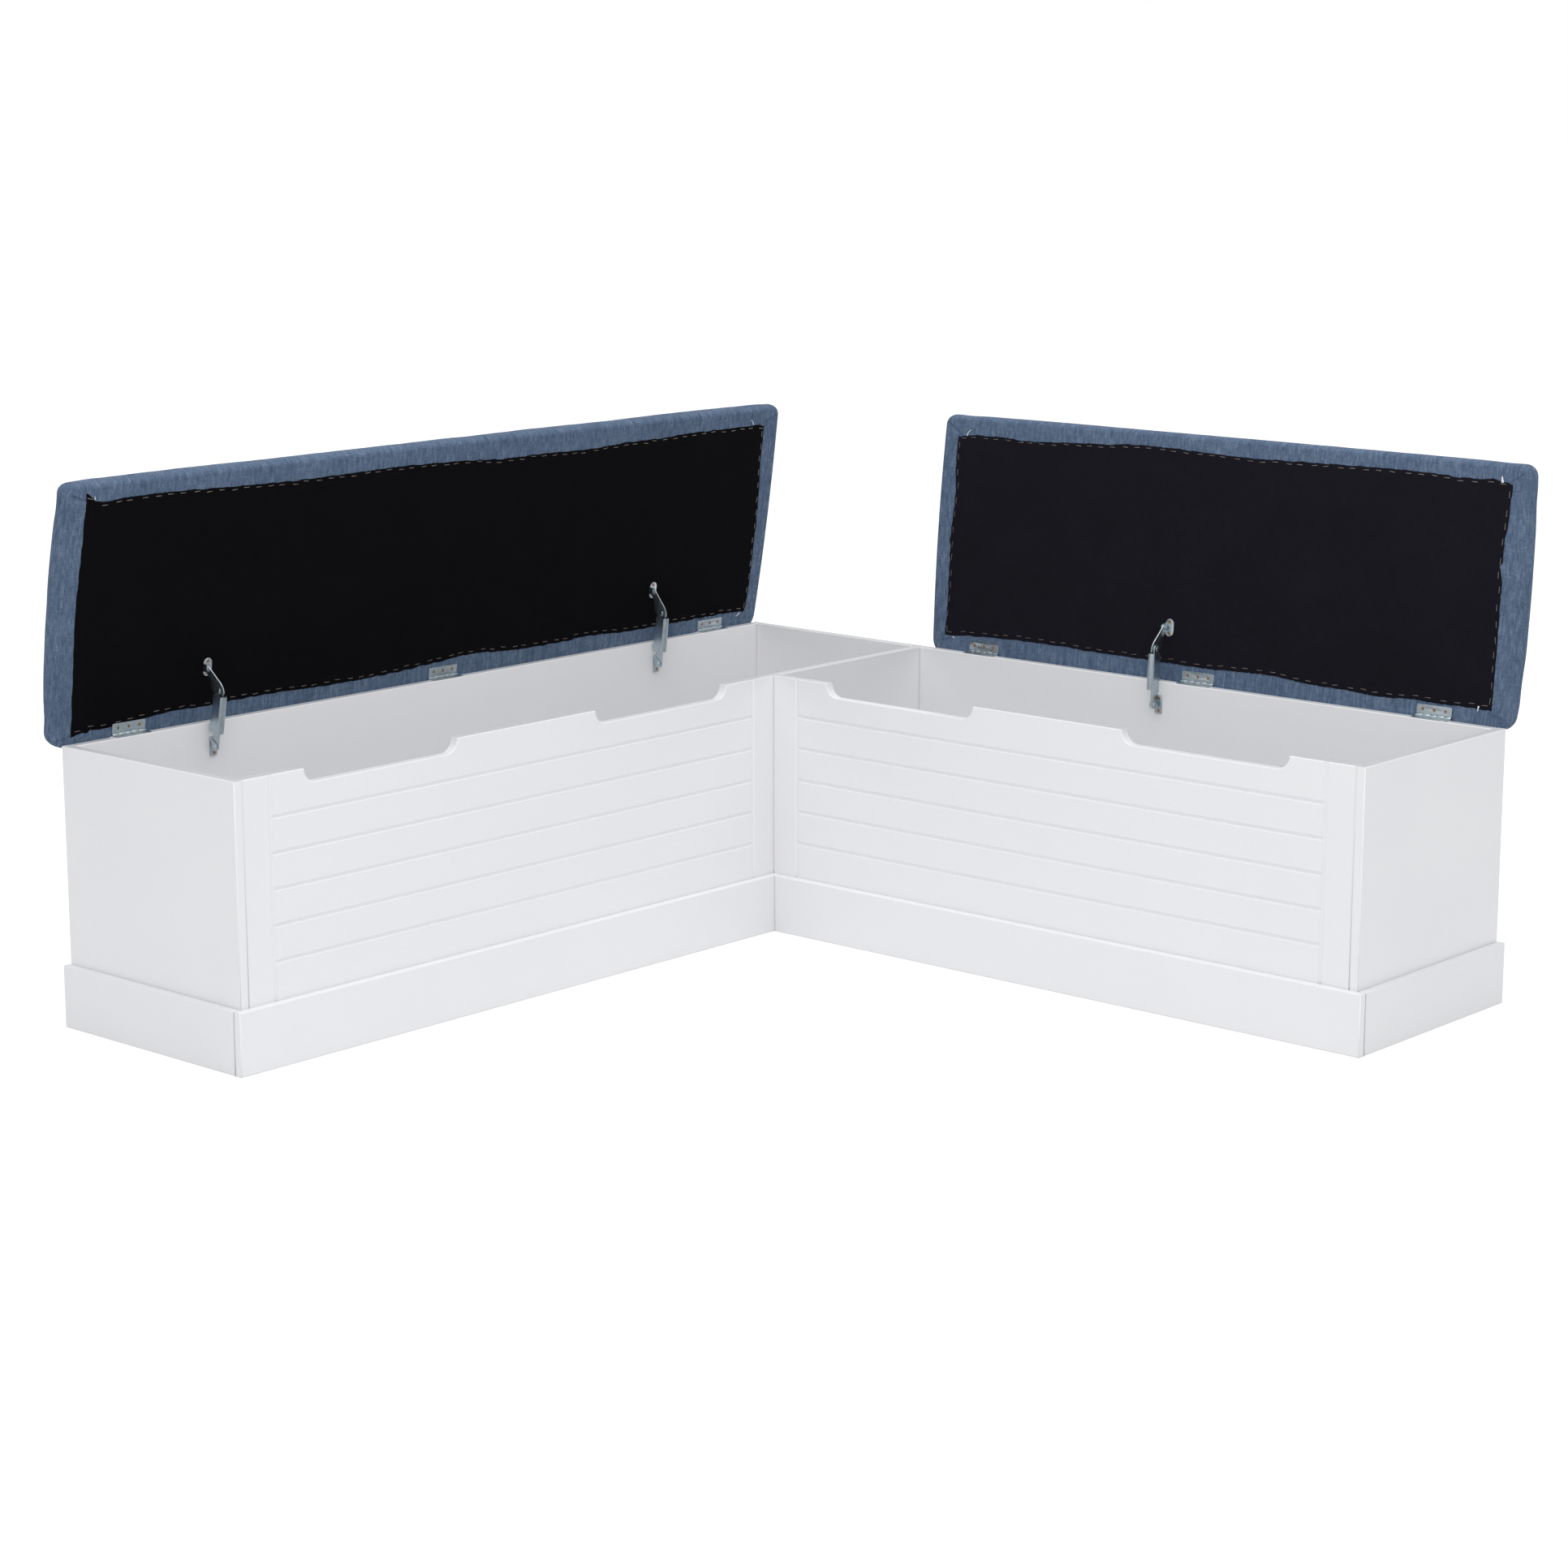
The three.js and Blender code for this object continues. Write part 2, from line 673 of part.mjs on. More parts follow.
// A flat bar from the wall pivot to the knee, with a wide hole for the knee's rivet
function lowerArmGeometry() {
  const bar = stadium(0, 0, lowerArmLength, lowerArmWidth / 2);
  bar.holes.push(disc(0, 0, rivetRadius + seatGap));
  bar.holes.push(disc(0, lowerArmLength, rivetRadius + kneeSlack + seatGap));
  return onEdge(plate(bar, lowerArmThickness, roundSteps), armRight);
}

// Sheet metal folded round the lower arm, and rolled into a tube in front of it for the spring
function sleeveGeometry() {
  const inner = sleeveCheekGap / 2;
  const outer = inner + sleeveSheet;
  const tubeInner = sleeveTubeRadius - sleeveSheet;
  const outerStart = Math.acos(outer / sleeveTubeRadius);
  const innerStart = Math.acos(inner / tubeInner);
  const section = new THREE.Shape();
  section.moveTo(outer, -sleeveBack);
  section.absarc(0, sleeveTubeOffset, sleeveTubeRadius, -outerStart, Math.PI + outerStart);
  section.lineTo(-outer, -sleeveBack);
  section.lineTo(-inner, -sleeveBack);
  section.absarc(0, sleeveTubeOffset, tubeInner, Math.PI + innerStart, -innerStart, true);
  section.lineTo(inner, -sleeveBack);
  section.closePath();
  const length = lowerArmLength - sleeveKneeGap - sleeveStart;
  return plate(section, length, roundSteps).translate(0, 0, sleeveStart);
}

// The coil that presses on the cam, lying in the sleeve's tube
class SpringCurve extends THREE.Curve {
  getPoint(share, target = new THREE.Vector3()) {
    const radius = sleeveTubeRadius - sleeveSheet - seatGap - springWire / 2;
    const turn = share * springTurns * 2 * Math.PI;
    const height = springStart + springWire / 2 + share * (springLength - springWire);
    return target.set(radius * Math.cos(turn), sleeveTubeOffset + radius * Math.sin(turn), height);
  }
}

// Least free space between points of the coil that lie half a turn or more apart
function coilGap(curve) {
  const steps = springTurns * springTurnSteps;
  const points = curve.getPoints(steps);
  let least = Infinity;
  for (let one = 0; one <= steps; one += 1) {
    for (let other = one + springTurnSteps / 2; other <= steps; other += 1) {
      least = Math.min(least, points[one].distanceTo(points[other]));
    }
  }
  return least - springWire;
}

function springGeometry(curve) {
  const section = new THREE.Shape();
  for (let side = 0; side < springSides; side += 1) {
    const angle = (side / springSides) * 2 * Math.PI;
    const place = [(springWire / 2) * Math.cos(angle), (springWire / 2) * Math.sin(angle)];
    if (side === 0) {
      section.moveTo(...place);
    } else {
      section.lineTo(...place);
    }
  }
  section.closePath();
  return new THREE.ExtrudeGeometry(section, { extrudePath: curve, steps: springTurns * springTurnSteps });
}

// The cam arm hangs from the lid pivot; its knee end widens into a lobe with a nose.
// The knee's rivet is fixed in it.
function camArmGeometry() {
  const knee = -camArmLength;
  const bar = rectangle(-camArmWidth / 2, knee, camArmWidth / 2, 0);
  const end = disc(0, 0, camArmEndRadius);
  const lobe = disc(camLobeAside, knee + camLobeAlong, camLobeRadius);
  const nose = new THREE.Shape();
  nose.moveTo(camLobeAside, knee + camLobeAlong - camLobeRadius / 2);
  nose.lineTo(camNoseAside, knee + camNoseAlong);
  nose.lineTo(camLobeAside + camLobeRadius - overrun, knee + camLobeAlong);
  nose.closePath();
  const plates = [bar, end, lobe, nose].map((shape) => plate(shape, camArmThickness, roundSteps));
  const pieces = plates.map((piece) => piece.translate(0, 0, camRight));
  pieces.push(...rivet(0, knee, camRight + camArmThickness / 2, armRight - seatGap));
  const hole = plate(disc(0, 0, rivetRadius + seatGap), camArmThickness + 2 * overrun, roundSteps);
  hole.translate(0, 0, camRight - overrun);
  return onAxes(cut(joined(pieces), [hole]), axisY, axisZ, axisX);
}

// Screwed to the lid's underside: a round-ended plate, and an ear that holds the cam arm's rivet
function lidBracketGeometry(stay) {
  const top = axisLift - seatGap;
  const pivotHeight = axisLift - lidPivotOffset;
  const half = lidPillWidth / 2;
  const straight = (lidPillLength - lidPillWidth) / 2;
  const earRight = lidEarRight;
  const earEnd = earRight + lidPillThickness;
  const pill = stadium(earEnd - half, stay.reach - straight, stay.reach + straight, half);
  for (const along of [-lidScrewPitch / 2, lidScrewPitch / 2]) {
    pill.holes.push(disc(earEnd - half, stay.reach + along, bracketScrewHole));
  }
  const seated = plate(pill, lidPillThickness, roundSteps).translate(0, 0, top - lidPillThickness);
  const ear = new THREE.Shape();
  ear.moveTo(stay.reach + lidEarRadius, top - lidPillThickness / 2);
  ear.lineTo(stay.reach - lidEarRadius, top - lidPillThickness / 2);
  ear.absarc(stay.reach, pivotHeight, lidEarRadius, Math.PI, 2 * Math.PI);
  ear.closePath();
  const pieces = [plate(ear, lidPillThickness).translate(0, 0, earRight)];
  pieces.push(...rivet(stay.reach, pivotHeight, earRight + lidPillThickness / 2, camRight - seatGap));
  return joined([seated, ...pieces.map((piece) => onEdge(piece, 0))]);
}

// A stay: its sleeve turns on the wall bracket and its cam arm on the lid bracket
function addStay(axis, lid, name, stay, place, openAngle) {
  const end = lidPivot(stay, openAngle);
  const knee = kneePlace(end);
  const wallBracket = addMesh(axis, `${name}_wall_bracket`, wallBracketGeometry(), zincSteel);
  wallBracket.position.x = place;

  const sleeveTurn = new THREE.Group();
  sleeveTurn.name = `${name}_sleeve_pivot`;
  sleeveTurn.position.set(place, wallPivot.x, wallPivot.y);
  sleeveTurn.rotation.x = -Math.atan2(knee.x - wallPivot.x, knee.y - wallPivot.y);
  axis.add(sleeveTurn);
  const coil = new SpringCurve();
  addMesh(sleeveTurn, `${name}_lower_arm`, lowerArmGeometry(), zincSteel);
  addMesh(sleeveTurn, `${name}_sleeve`, sleeveGeometry(), zincSteel);
  addMesh(sleeveTurn, `${name}_spring`, springGeometry(coil), zincSteel);
  console.log(`${name}_spring: least gap to itself ${coilGap(coil).toFixed(2)} mm`);

  const lidBracket = addMesh(lid, `${name}_lid_bracket`, lidBracketGeometry(stay), zincSteel);
  lidBracket.position.x = place;
  const camTurn = new THREE.Group();
  camTurn.name = `${name}_cam_arm_pivot`;
  camTurn.position.set(place, stay.reach, axisLift - lidPivotOffset);
  camTurn.rotation.x = -Math.atan2(end.x - knee.x, end.y - knee.y) - openAngle;
  lid.add(camTurn);
  addMesh(camTurn, `${name}_cam_arm`, camArmGeometry(), zincSteel);
}

// A frame on a box's hinge axis, and in it the frame that turns with the lid
function addHingeAxis(box, side, openAngle) {
  const axis = new THREE.Group();
  axis.name = `${side}_hinge_axis`;
  axis.position.set(0, -hingeOutset, axisHeight);
  box.add(axis);
  const lid = new THREE.Group();
  lid.name = `${side}_lid_pivot`;
  lid.rotation.x = openAngle;
  axis.add(lid);
  return { axis, lid };
}

function hingePlaces(cornerEnd, outerEnd, insets) {
  const direction = Math.sign(outerEnd - cornerEnd);
  const first = cornerEnd + direction * insets.corner;
  const last = outerEnd - direction * insets.outer;
  return [first, (first + last) / 2, last];
}

const bench = new THREE.Group();
const outerCorner = new THREE.Group();
outerCorner.position.set(boardThickness / 2, boardThickness / 2, 0);
bench.add(outerCorner);

const leftBox = new THREE.Group();
leftBox.rotation.z = Math.PI;
const rightBox = new THREE.Group();
rightBox.rotation.z = quarterTurn;
outerCorner.add(leftBox, rightBox);

addLeftCase(leftBox);
addRightCase(rightBox);
addPlinths(leftBox, rightBox);

const leftLidEnd = leftLength + leftLidOverhang;
const rightLidStart = -caseDepth - lidGap;
const rightLidEnd = rightLidSetback - rightLength;
const axisPlace = new THREE.Vector3(0, -hingeOutset, axisHeight);

const leftAxis = addHingeAxis(leftBox, 'left', leftOpenAngle);
addLid(leftAxis.lid, 'left', 0, leftLidEnd);
addHinges(leftBox, leftAxis.lid, 'left', axisPlace, hingePlaces(0, leftLidEnd, leftHingeInsets));
const outerPlace = leftLidEnd - outerStay.inset;
addStay(leftAxis.axis, leftAxis.lid, 'left_outer_stay', outerStay, outerPlace, leftOpenAngle);
addStay(leftAxis.axis, leftAxis.lid, 'left_inner_stay', innerStay, innerStay.inset, leftOpenAngle);

const rightAxis = addHingeAxis(rightBox, 'right', rightOpenAngle);
addLid(rightAxis.lid, 'right', rightLidEnd, rightLidStart);
const rightHingePlaces = hingePlaces(rightLidStart, rightLidEnd, rightHingeInsets);
addHinges(rightBox, rightAxis.lid, 'right', axisPlace, rightHingePlaces);
const rightPlace = rightLidStart - rightStay.inset;
addStay(rightAxis.axis, rightAxis.lid, 'right_stay', rightStay, rightPlace, rightOpenAngle);

export default bench;
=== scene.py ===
"""Corner storage bench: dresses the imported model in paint, fabric, black cloth and zinc, and lights it."""

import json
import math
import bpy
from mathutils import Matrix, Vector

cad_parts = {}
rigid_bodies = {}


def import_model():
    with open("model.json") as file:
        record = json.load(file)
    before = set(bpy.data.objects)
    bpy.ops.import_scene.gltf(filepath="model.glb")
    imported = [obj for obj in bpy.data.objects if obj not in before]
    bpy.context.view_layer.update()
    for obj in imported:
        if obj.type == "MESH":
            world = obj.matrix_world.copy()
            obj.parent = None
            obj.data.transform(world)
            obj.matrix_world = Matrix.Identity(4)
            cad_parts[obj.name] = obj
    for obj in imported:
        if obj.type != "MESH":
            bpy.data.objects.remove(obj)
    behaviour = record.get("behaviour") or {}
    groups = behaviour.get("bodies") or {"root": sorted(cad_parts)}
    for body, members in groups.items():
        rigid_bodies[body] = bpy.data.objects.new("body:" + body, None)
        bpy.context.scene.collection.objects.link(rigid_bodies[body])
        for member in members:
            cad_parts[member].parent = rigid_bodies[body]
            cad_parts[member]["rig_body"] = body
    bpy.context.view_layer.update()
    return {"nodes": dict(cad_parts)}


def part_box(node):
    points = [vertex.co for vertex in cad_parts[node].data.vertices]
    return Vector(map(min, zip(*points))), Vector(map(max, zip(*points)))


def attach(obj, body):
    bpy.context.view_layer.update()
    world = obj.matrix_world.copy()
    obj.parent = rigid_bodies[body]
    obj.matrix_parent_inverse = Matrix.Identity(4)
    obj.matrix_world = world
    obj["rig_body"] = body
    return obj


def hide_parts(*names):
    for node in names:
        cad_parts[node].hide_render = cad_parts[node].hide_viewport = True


bl_info = {
    "name": "Corner storage bench",
    "version": (1, 0, 0),
    "blender": (4, 5, 0),
    "location": "3D View > Sidebar > Bench",
    "description": "Paint, upholstery, fittings and stage of a corner storage bench with two lids",
    "category": "Object",
}

import bmesh
import bpy
import numpy as np
from mathutils import Matrix, Vector

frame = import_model()

# Places and sizes are in millimetres, unless their comment names metres
MM = 0.001
UPRIGHT = np.array([0, 0, 1.0])

# The lids stand open about their hinge axes: a start on the axis, the directions along it and to the front
# when closed, the opening angle in degrees, and the cover's two ends along the axis and its front edge.
# Folds at the front and rear corners of the underside: distance in from the side at the end, and slope.
# Tuck: how far the cover's rear edge hangs past the board at each of the tuck heights, except at the hinges.
# Mark lines: where the rows of marks stand about the stays' tubes, in degrees from their front.
TUCK_HEIGHTS = [0, 1, 2, 3.5, 6, 9, 18, 28, 36]
LIDS = {
    "left": {
        "start": np.array([7.5, 10.7, 426.5]),
        "along": np.array([-1.0, 0, 0]),
        "front": np.array([0, -1.0, 0]),
        "angle": 81,
        "ends": (0, 1534),
        "front_edge": 388,
        "folds": ((10.5, 0.31), (2.5, 0.17)),
        "pleat": 0,
        "tuck": [12.2, 8.7, 7.9, 7.2, 6.4, 5.7, 4.8, 3.5, 0],
        "mark_lines": (76,),
        "seed": 3,
        "staple_seed": 5,
    },
    "right": {
        "start": np.array([10.7, 7.5, 426.5]),
        "along": np.array([0, 1.0, 0]),
        "front": np.array([-1.0, 0, 0]),
        "angle": 95,
        "ends": (-1517.8, -403),
        "front_edge": 390.5,
        "folds": ((4, 0.72), (4, 0.3)),
        "pleat": 1,
        "tuck": [11.4, 7.9, 7.1, 6.4, 5.6, 4.9, 4.0, 3.0, 0],
        "mark_lines": (-36, -20),
        "seed": 7,
        "staple_seed": 6,
    },
}

# Cushion section: the rear edge's distance from the axis and the underside's level
LID_REAR = 3.2
UNDERSIDE = 1.5
# The cover's width turned in under the board, and the least level over the underside that its relief reaches
FLANGE = 40
LOWEST = -0.9
# Heights, roundings and bulge of its edge and crown, the bows of its sides and ends, and how much of its
# height it loses at a corner and how far from there
CORNER_RADIUS = 12
INNER_RADIUS = 5
EDGE_HEIGHT = 36
CROWN_HEIGHT = 55.5
EDGE_BULGE = 4.7
LOWER_ROUND = 5
UPPER_ROUND = 14
SIDE_BOW = 2
END_BOW = 5
CORNER_THINNING = 0.14
THINNED_REACH = 75
# Wavelength and height of the broad and the small swell over a crown, and of the pulls along its edges and
# between the staples
SWELLS = ((260, 0.9), (70, 0.3))
EDGE_PULL = (60, 0.12)
STAPLE_PULL = (23, 0.22)
# Folds at a cover's corners: distance from the corner, spread, and how many turn about it in a radian
CORNER_FOLD = (34, 30, 15)
# Cloth simulation of the covers: voxel and cap in metres, and the heights above the underside between which
# the cover comes free
FOAM = {"voxel": 0.006, "pressure": 0.3, "stiffness": 15, "frames": 20, "cap": 0.006, "held": (5, 16)}
HELD_STEPS = 8

# Edges of the black cloths on the lids' undersides: places along the axis and up from it
HEMS = {
    "left": {
        "bottom": [(33, 19), (41, 22), (80, 23), (181, 22), (334, 21), (384, 24), (433, 26), (481, 23),
            (576, 23), (624, 25), (670, 29), (716, 30), (761, 26), (806, 24), (849, 21), (936, 19),
            (1021, 19), (1105, 22), (1186, 22), (1266, 20), (1305, 22), (1343, 20), (1382, 17), (1420, 14),
            (1456, 12), (1473, 15), (1475, 11), (1482, 12), (1494, 10), (1505, 7)],
        "top": [(36, 358), (49, 362), (62, 361), (235, 361), (285, 358), (384, 358), (432, 355), (480, 354),
            (574, 356), (666, 355), (757, 360), (888, 363), (1015, 361), (1097, 360), (1217, 362),
            (1314, 365), (1371, 366), (1437, 365), (1468, 362), (1486, 365), (1493, 371), (1500, 378)],
        "low_end": [(19, 32), (30, 28), (60, 25), (120, 25), (181, 25), (243, 28), (292, 33), (358, 34)],
        "high_end": [(7, 1505), (40, 1506), (71, 1507), (117, 1508), (163, 1510), (203, 1510), (237, 1508),
            (264, 1506), (306, 1504), (353, 1502), (377, 1503)],
    },
    "right": {
        "bottom": [(-1490, 21), (-1458, 22), (-1387, 21), (-1351, 23), (-1315, 20), (-1278, 19), (-1241, 22),
            (-1166, 23), (-1128, 26), (-1090, 29), (-1012, 27), (-973, 25), (-813, 27), (-730, 27),
            (-688, 29), (-589, 29), (-520, 27), (-479, 25), (-450, 22), (-428, 22)],
        "top": [(-1494, 363), (-1479, 366), (-1461, 370), (-1429, 367), (-1388, 368), (-1354, 370),
            (-1282, 371), (-1209, 370), (-1134, 369), (-1020, 367), (-943, 369), (-863, 372), (-790, 372),
            (-742, 368), (-701, 367), (-618, 363), (-575, 361), (-532, 364), (-489, 364), (-457, 363),
            (-430, 359)],
        "low_end": [(21, -1490), (120, -1490), (190, -1489), (218, -1489), (228, -1487), (238, -1482),
            (243, -1487), (281, -1488), (311, -1492), (341, -1492), (363, -1494)],
        "high_end": [(22, -428), (73, -430), (119, -429), (154, -428), (179, -428), (185, -426), (221, -429),
            (253, -431), (276, -432), (294, -429), (347, -429), (359, -430)],
    },
}

# White cord ends that hang out at the cloths' corners: place, first direction, length, bend, and half width
CORD_ENDS = {
    "left": [((64, 363), (0.35, 0.94), 12, -1, 0.8), ((43, 20), (0.6, -0.8), 11, 1, 0.9),
             ((1488, 367), (-0.4, 0.9), 7, -1.6, 0.6)],
    "right": [((-449, 361), (-0.3, 0.95), 15, 1, 0.8), ((-1476, 365), (0.05, 1), 10, -0.3, 2.0),
              ((-446, 20), (-1, -0.2), 5, 1, 0.8), ((-1468, 26), (0.1, -1), 9, 0.2, 1.3)],
}

# The black cloths: the sheet's height up the lid, its level out of the lid's plane, how wide its turned edge
# is, and the shares of its height at which rows follow the hem
CLOTH_HEIGHT = 345
CLOTH_LEVEL = 1.29
TURNED_EDGE = 11.5
CLOTH_EDGE = np.array([0, 0.004, 0.009, 0.016, 0.024, 0.032, 0.036, 0.045])
# Staples: their level out of the lid's plane, how far inside each hem its row stands, how far the long rows
# stop from the cloth's ends, and from where to where the end rows go up the lid
STAPLE_LEVEL = 1.25
STAPLE_ROWS = {"bottom": 5.5, "top": -4.0, "low_end": 4.0, "high_end": -4.0}
ROW_MARGIN = 12
END_ROWS = (34, 346)
# No staple stands this near a hinge's middle and at most this far up the lid
HINGE_CLEARANCE = (38, 19.5)

# Stays: the lid that each one holds, its place along the hinge axis, and its bracket's reach up the lid
STAYS = {
    "left_outer_stay": ("left", 1259.6, 83.5),
    "left_inner_stay": ("left", 280.5, 89),
    "right_stay": ("right", -887.2, 83.5),
}
# The wall pivot's place from the axis, to the front and up, the lid pivot's depth under the lid, and the
# lengths of the two arms
WALL_PIVOT = np.array([29.5, -38.5])
PIVOT_BELOW_LID = 6.5
LOWER_ARM = 90
CAM_ARM = 40.55
# A cam arm's outline, from its lid pivot: to the front and along the arm, away from the knee
CAM_OUTLINE = [
    (0, 5.4), (3.9, 3.9), (5.5, 0), (6.2, -6), (7.1, -12), (8.2, -18), (9.3, -24), (10.4, -29),
    (11.1, -34), (11.0, -40), (9.6, -46), (6.9, -50.4), (5.2, -49.6), (3.4, -47.2), (0, -46.4),
    (-4.6, -45.2), (-8.8, -42), (-11.4, -37.5), (-12.2, -32), (-11.4, -26), (-9.0, -19.5), (-6.6, -13),
    (-5.2, -6), (-5.4, 0), (-3.9, 3.9),
]
CAM_MIDDLE = np.array([-1, -20.0])
# A sleeve's section and length: half its inside width, sheet, the tube's radius and distance, where it starts
# at the tube and at its back and ends along the arm, how deep its cheeks are at the knee and at the wall, and
# the radius of their corner
SLEEVE = {
    "inner": 2.6, "sheet": 1.2, "radius": 6, "offset": 8.8, "from": 24.5, "back_from": 20.5, "to": 83.2,
    "back": 8.5, "flare": 12.8, "corner": 5,
}
# The CAD spring's distance from the arm
SPRING_OFFSET = 12
# The marks on a sleeve's tube: how many in a row, where the row starts along the arm, and their pitch
MARKS = (14, 28, 3.8)

# Screws: a hinge screw's row and steps along a leaf, and its seat from the axis, deep enough that the heads
# of both leaves clear each other when closed
HINGE_SCREW_ROW = 10.35
HINGE_SCREW_STEPS = (-20, 0, 20)
HINGE_SCREW_LEVEL = 0.48
# The screws in a stay's lid bracket and wall bracket: to the side of the stay, and their places up the lid
# from its pivot, or from the axis to the front and up
LID_BRACKET_SCREWS = (-4.3, (-9.5, 9.5))
WALL_BRACKET_SCREWS = (-5.7, 20.5, (-29, -49))
SCREW_RADIUS = 2.9
# Rivets: radius and height of the domes, and the places of both beside the stay at each pivot
RIVET_RADIUS = 3.9
RIVET_HEIGHT = 1.1
RIVET_SIDES = {"wall": (1.8, -3.4), "knee": (1.9, -3.4), "lid": (3.7, -1.2)}

CASE_NODES = [
    "left_end", "left_back", "corner_end", "divider", "left_front", "left_bottom", "right_end", "right_back",
    "right_front", "right_bottom", "left_front_plinth", "left_end_plinth", "right_front_plinth",
    "right_end_plinth",
]
HINGES = (1, 2, 3)
HINGE_PARTS = ("wall_leaf", "pin", "lid_leaf")
STAY_PARTS = ("wall_bracket", "lower_arm", "spring", "lid_bracket")
# How far the edges of a hinge and of a stay are broken, and the angle in degrees from which an edge is sharp
HINGE_BEVEL = 0.15
STAY_BEVEL = 0.22
SHARP_ANGLE = 38
# Joints between the white boards, and their outer corners, where lines of paint stand for painted shade in
# the joints and a painted highlight on the corners: place, direction it faces, and heights
BOARD, PLINTH = (95, 424.6), (0.5, 94.6)
JOINTS = [
    ((-1502.4, -382.5), (0, -1), BOARD), ((-382.5, -1497.4), (-1, 0), BOARD),
    ((-1531.75, -382.6), (-1, 0), PLINTH), ((-382.6, -1526.75), (0, -1), PLINTH),
]
ARRISES = [
    ((-1517.5, -382.5), BOARD), ((-382.5, -1512.5), BOARD),
    ((-1531.75, -396.75), PLINTH), ((-396.75, -1526.75), PLINTH),
]


# A joint's line of painted shade: how flat it is. A corner's line of painted highlight: how far in its middle
# lies, and its radius
JOINT_FLATNESS = 0.3
CORNER_LINE = (0.62, 0.8)
# The height in metres from which the boards' paint is greyer: painted shade on their upper edges, where the
# lids shade them
UPPER_EDGE = 0.4243

# Lamps: place, target and width in metres. Camera: place in metres, and its yaw and dip in degrees
LAMPS = {
    "key": ((-3.4, -3.0, 3.2), (-0.7, -0.7, 0.3), 3.0),
    "top": ((-1.0, -1.0, 3.6), (-0.7, -0.7, 0.2), 2.4),
}
CAMERA_PLACE = Vector((-4.6437, -4.1779, 1.4395))
CAMERA_YAW = 41.52
CAMERA_DIP = 11.83


# Meshes


def full_turn(count):
    """Angles that share out a full turn."""
    return np.linspace(0, 2 * np.pi, count, endpoint=False)


def smoothstep(value, low, high):
    """0 below low, 1 above high, and 3t^2 - 2t^3 between them."""
    share = np.clip((value - low) / (high - low), 0, 1)
    return share * share * (3 - 2 * share)


def ripple(along, length, seed):
    """Sum of five sines of about that length with seeded phases, from about -1 to 1."""
    source = np.random.default_rng(seed)
    lengths = length * source.uniform(0.6, 1.6, 5)
    phases = source.uniform(0, 2 * np.pi, 5)
    return np.sin(2 * np.pi * np.asarray(along)[..., None] / lengths + phases).sum(-1) / 3


def swell(x, y, length, seed):
    """Sum of nine plane waves of about that length in seeded directions, from about -1 to 1."""
    source = np.random.default_rng(seed)
    turns = source.uniform(0, 2 * np.pi, 9)
    numbers = 2 * np.pi / (length * source.uniform(0.7, 1.6, 9))
    phases = source.uniform(0, 2 * np.pi, 9)
    across = x[..., None] * np.cos(turns) + y[..., None] * np.sin(turns)
    return np.sin(across * numbers + phases).sum(-1) / 4


def grid_faces(rows, columns, closed=False):
    """Quads of a grid of points in row order; on a closed grid the last column meets the first."""
    row, column = np.meshgrid(np.arange(rows - 1), np.arange(columns - (not closed)), indexing="ij")
    here, above, beside = row * columns, (row + 1) * columns, (column + 1) % columns
    return np.stack([here + column, here + beside, above + beside, above + column], axis=-1).reshape(-1, 4)


def repeated(points, faces):
    """One list of points and faces from copies of a shape: points are copies x points x 3."""
    copies, count = points.shape[:2]
    shift = (np.arange(copies) * count)[:, None, None]
    return points.reshape(-1, 3), (faces[None] + shift).reshape(-1, faces.shape[1])


def new_object(name, data):
    """An object in the scene, unmoved and unturned."""
    made = bpy.data.objects.new(name, data)
    bpy.context.scene.collection.objects.link(made)
    return made


def add_piece(name, points, faces, material, body, uv=None, values=None, ends=False):
    """A mesh in metres that rides on a body, with its own finish. It may have a UV map given corner by corner
    of its faces, named point values, and open ends that are filled."""
    mesh = bpy.data.meshes.new(name)
    mesh.from_pydata(points.reshape(-1, 3), [], faces)
    if uv is not None:
        mesh.uv_layers.new(name="cloth").uv.foreach_set("vector", uv.astype(np.float32).ravel())
    for key, value in (values or {}).items():
        mesh.attributes.new(key, "FLOAT", "POINT").data.foreach_set("value", value.astype(np.float32).ravel())
    mesh.shade_smooth()
    mesh.materials.append(material)
    mesh.update()
    piece = new_object(name, mesh)
    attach(piece, body)
    if ends:
        mend_mesh(piece)
    return piece


def mend_mesh(piece, distance=0.0):
    """Joins points that lie that close in metres and drops faces without area, or with no distance fills open
    ends; then turns all faces outwards."""
    work = bmesh.new()
    work.from_mesh(piece.data)
    if distance:
        bmesh.ops.remove_doubles(work, verts=work.verts, dist=distance)
        bmesh.ops.dissolve_degenerate(work, edges=work.edges, dist=distance)
    else:
        bmesh.ops.holes_fill(work, edges=[edge for edge in work.edges if edge.is_boundary], sides=0)
    bmesh.ops.recalc_face_normals(work, faces=work.faces)
    work.to_mesh(piece.data)
    work.free()


def smooth_copy(node, material, bevel):
    """A copy of a packed steel node with its points joined, round walls shaded smooth and edges broken."""
    source = frame["nodes"][node]
    mesh = source.data.copy()
    mesh.materials.clear()
    mesh.materials.append(material)
    piece = new_object(f"{node}_finished", mesh)
    mend_mesh(piece, 1e-5)
    mesh.shade_smooth()
    mesh.set_sharp_from_angle(angle=math.radians(SHARP_ANGLE))
    if bevel:
        edge = piece.modifiers.new("broken edges", "BEVEL")
        edge.width, edge.segments = bevel * MM, 2
        edge.limit_method, edge.angle_limit = "ANGLE", math.radians(50)
        edge.harden_normals = True
    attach(piece, source["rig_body"])
    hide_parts(node)
    return piece


def lid_axes(side):
    """A lid's start on its hinge axis and its directions: along the axis, up the lid, and out of its padded
    side."""
    lid = LIDS[side]
    angle = math.radians(lid["angle"])
    up = lid["front"] * math.cos(angle) + UPRIGHT * math.sin(angle)
    out = UPRIGHT * math.cos(angle) - lid["front"] * math.sin(angle)
    return lid["start"], lid["along"], up, out


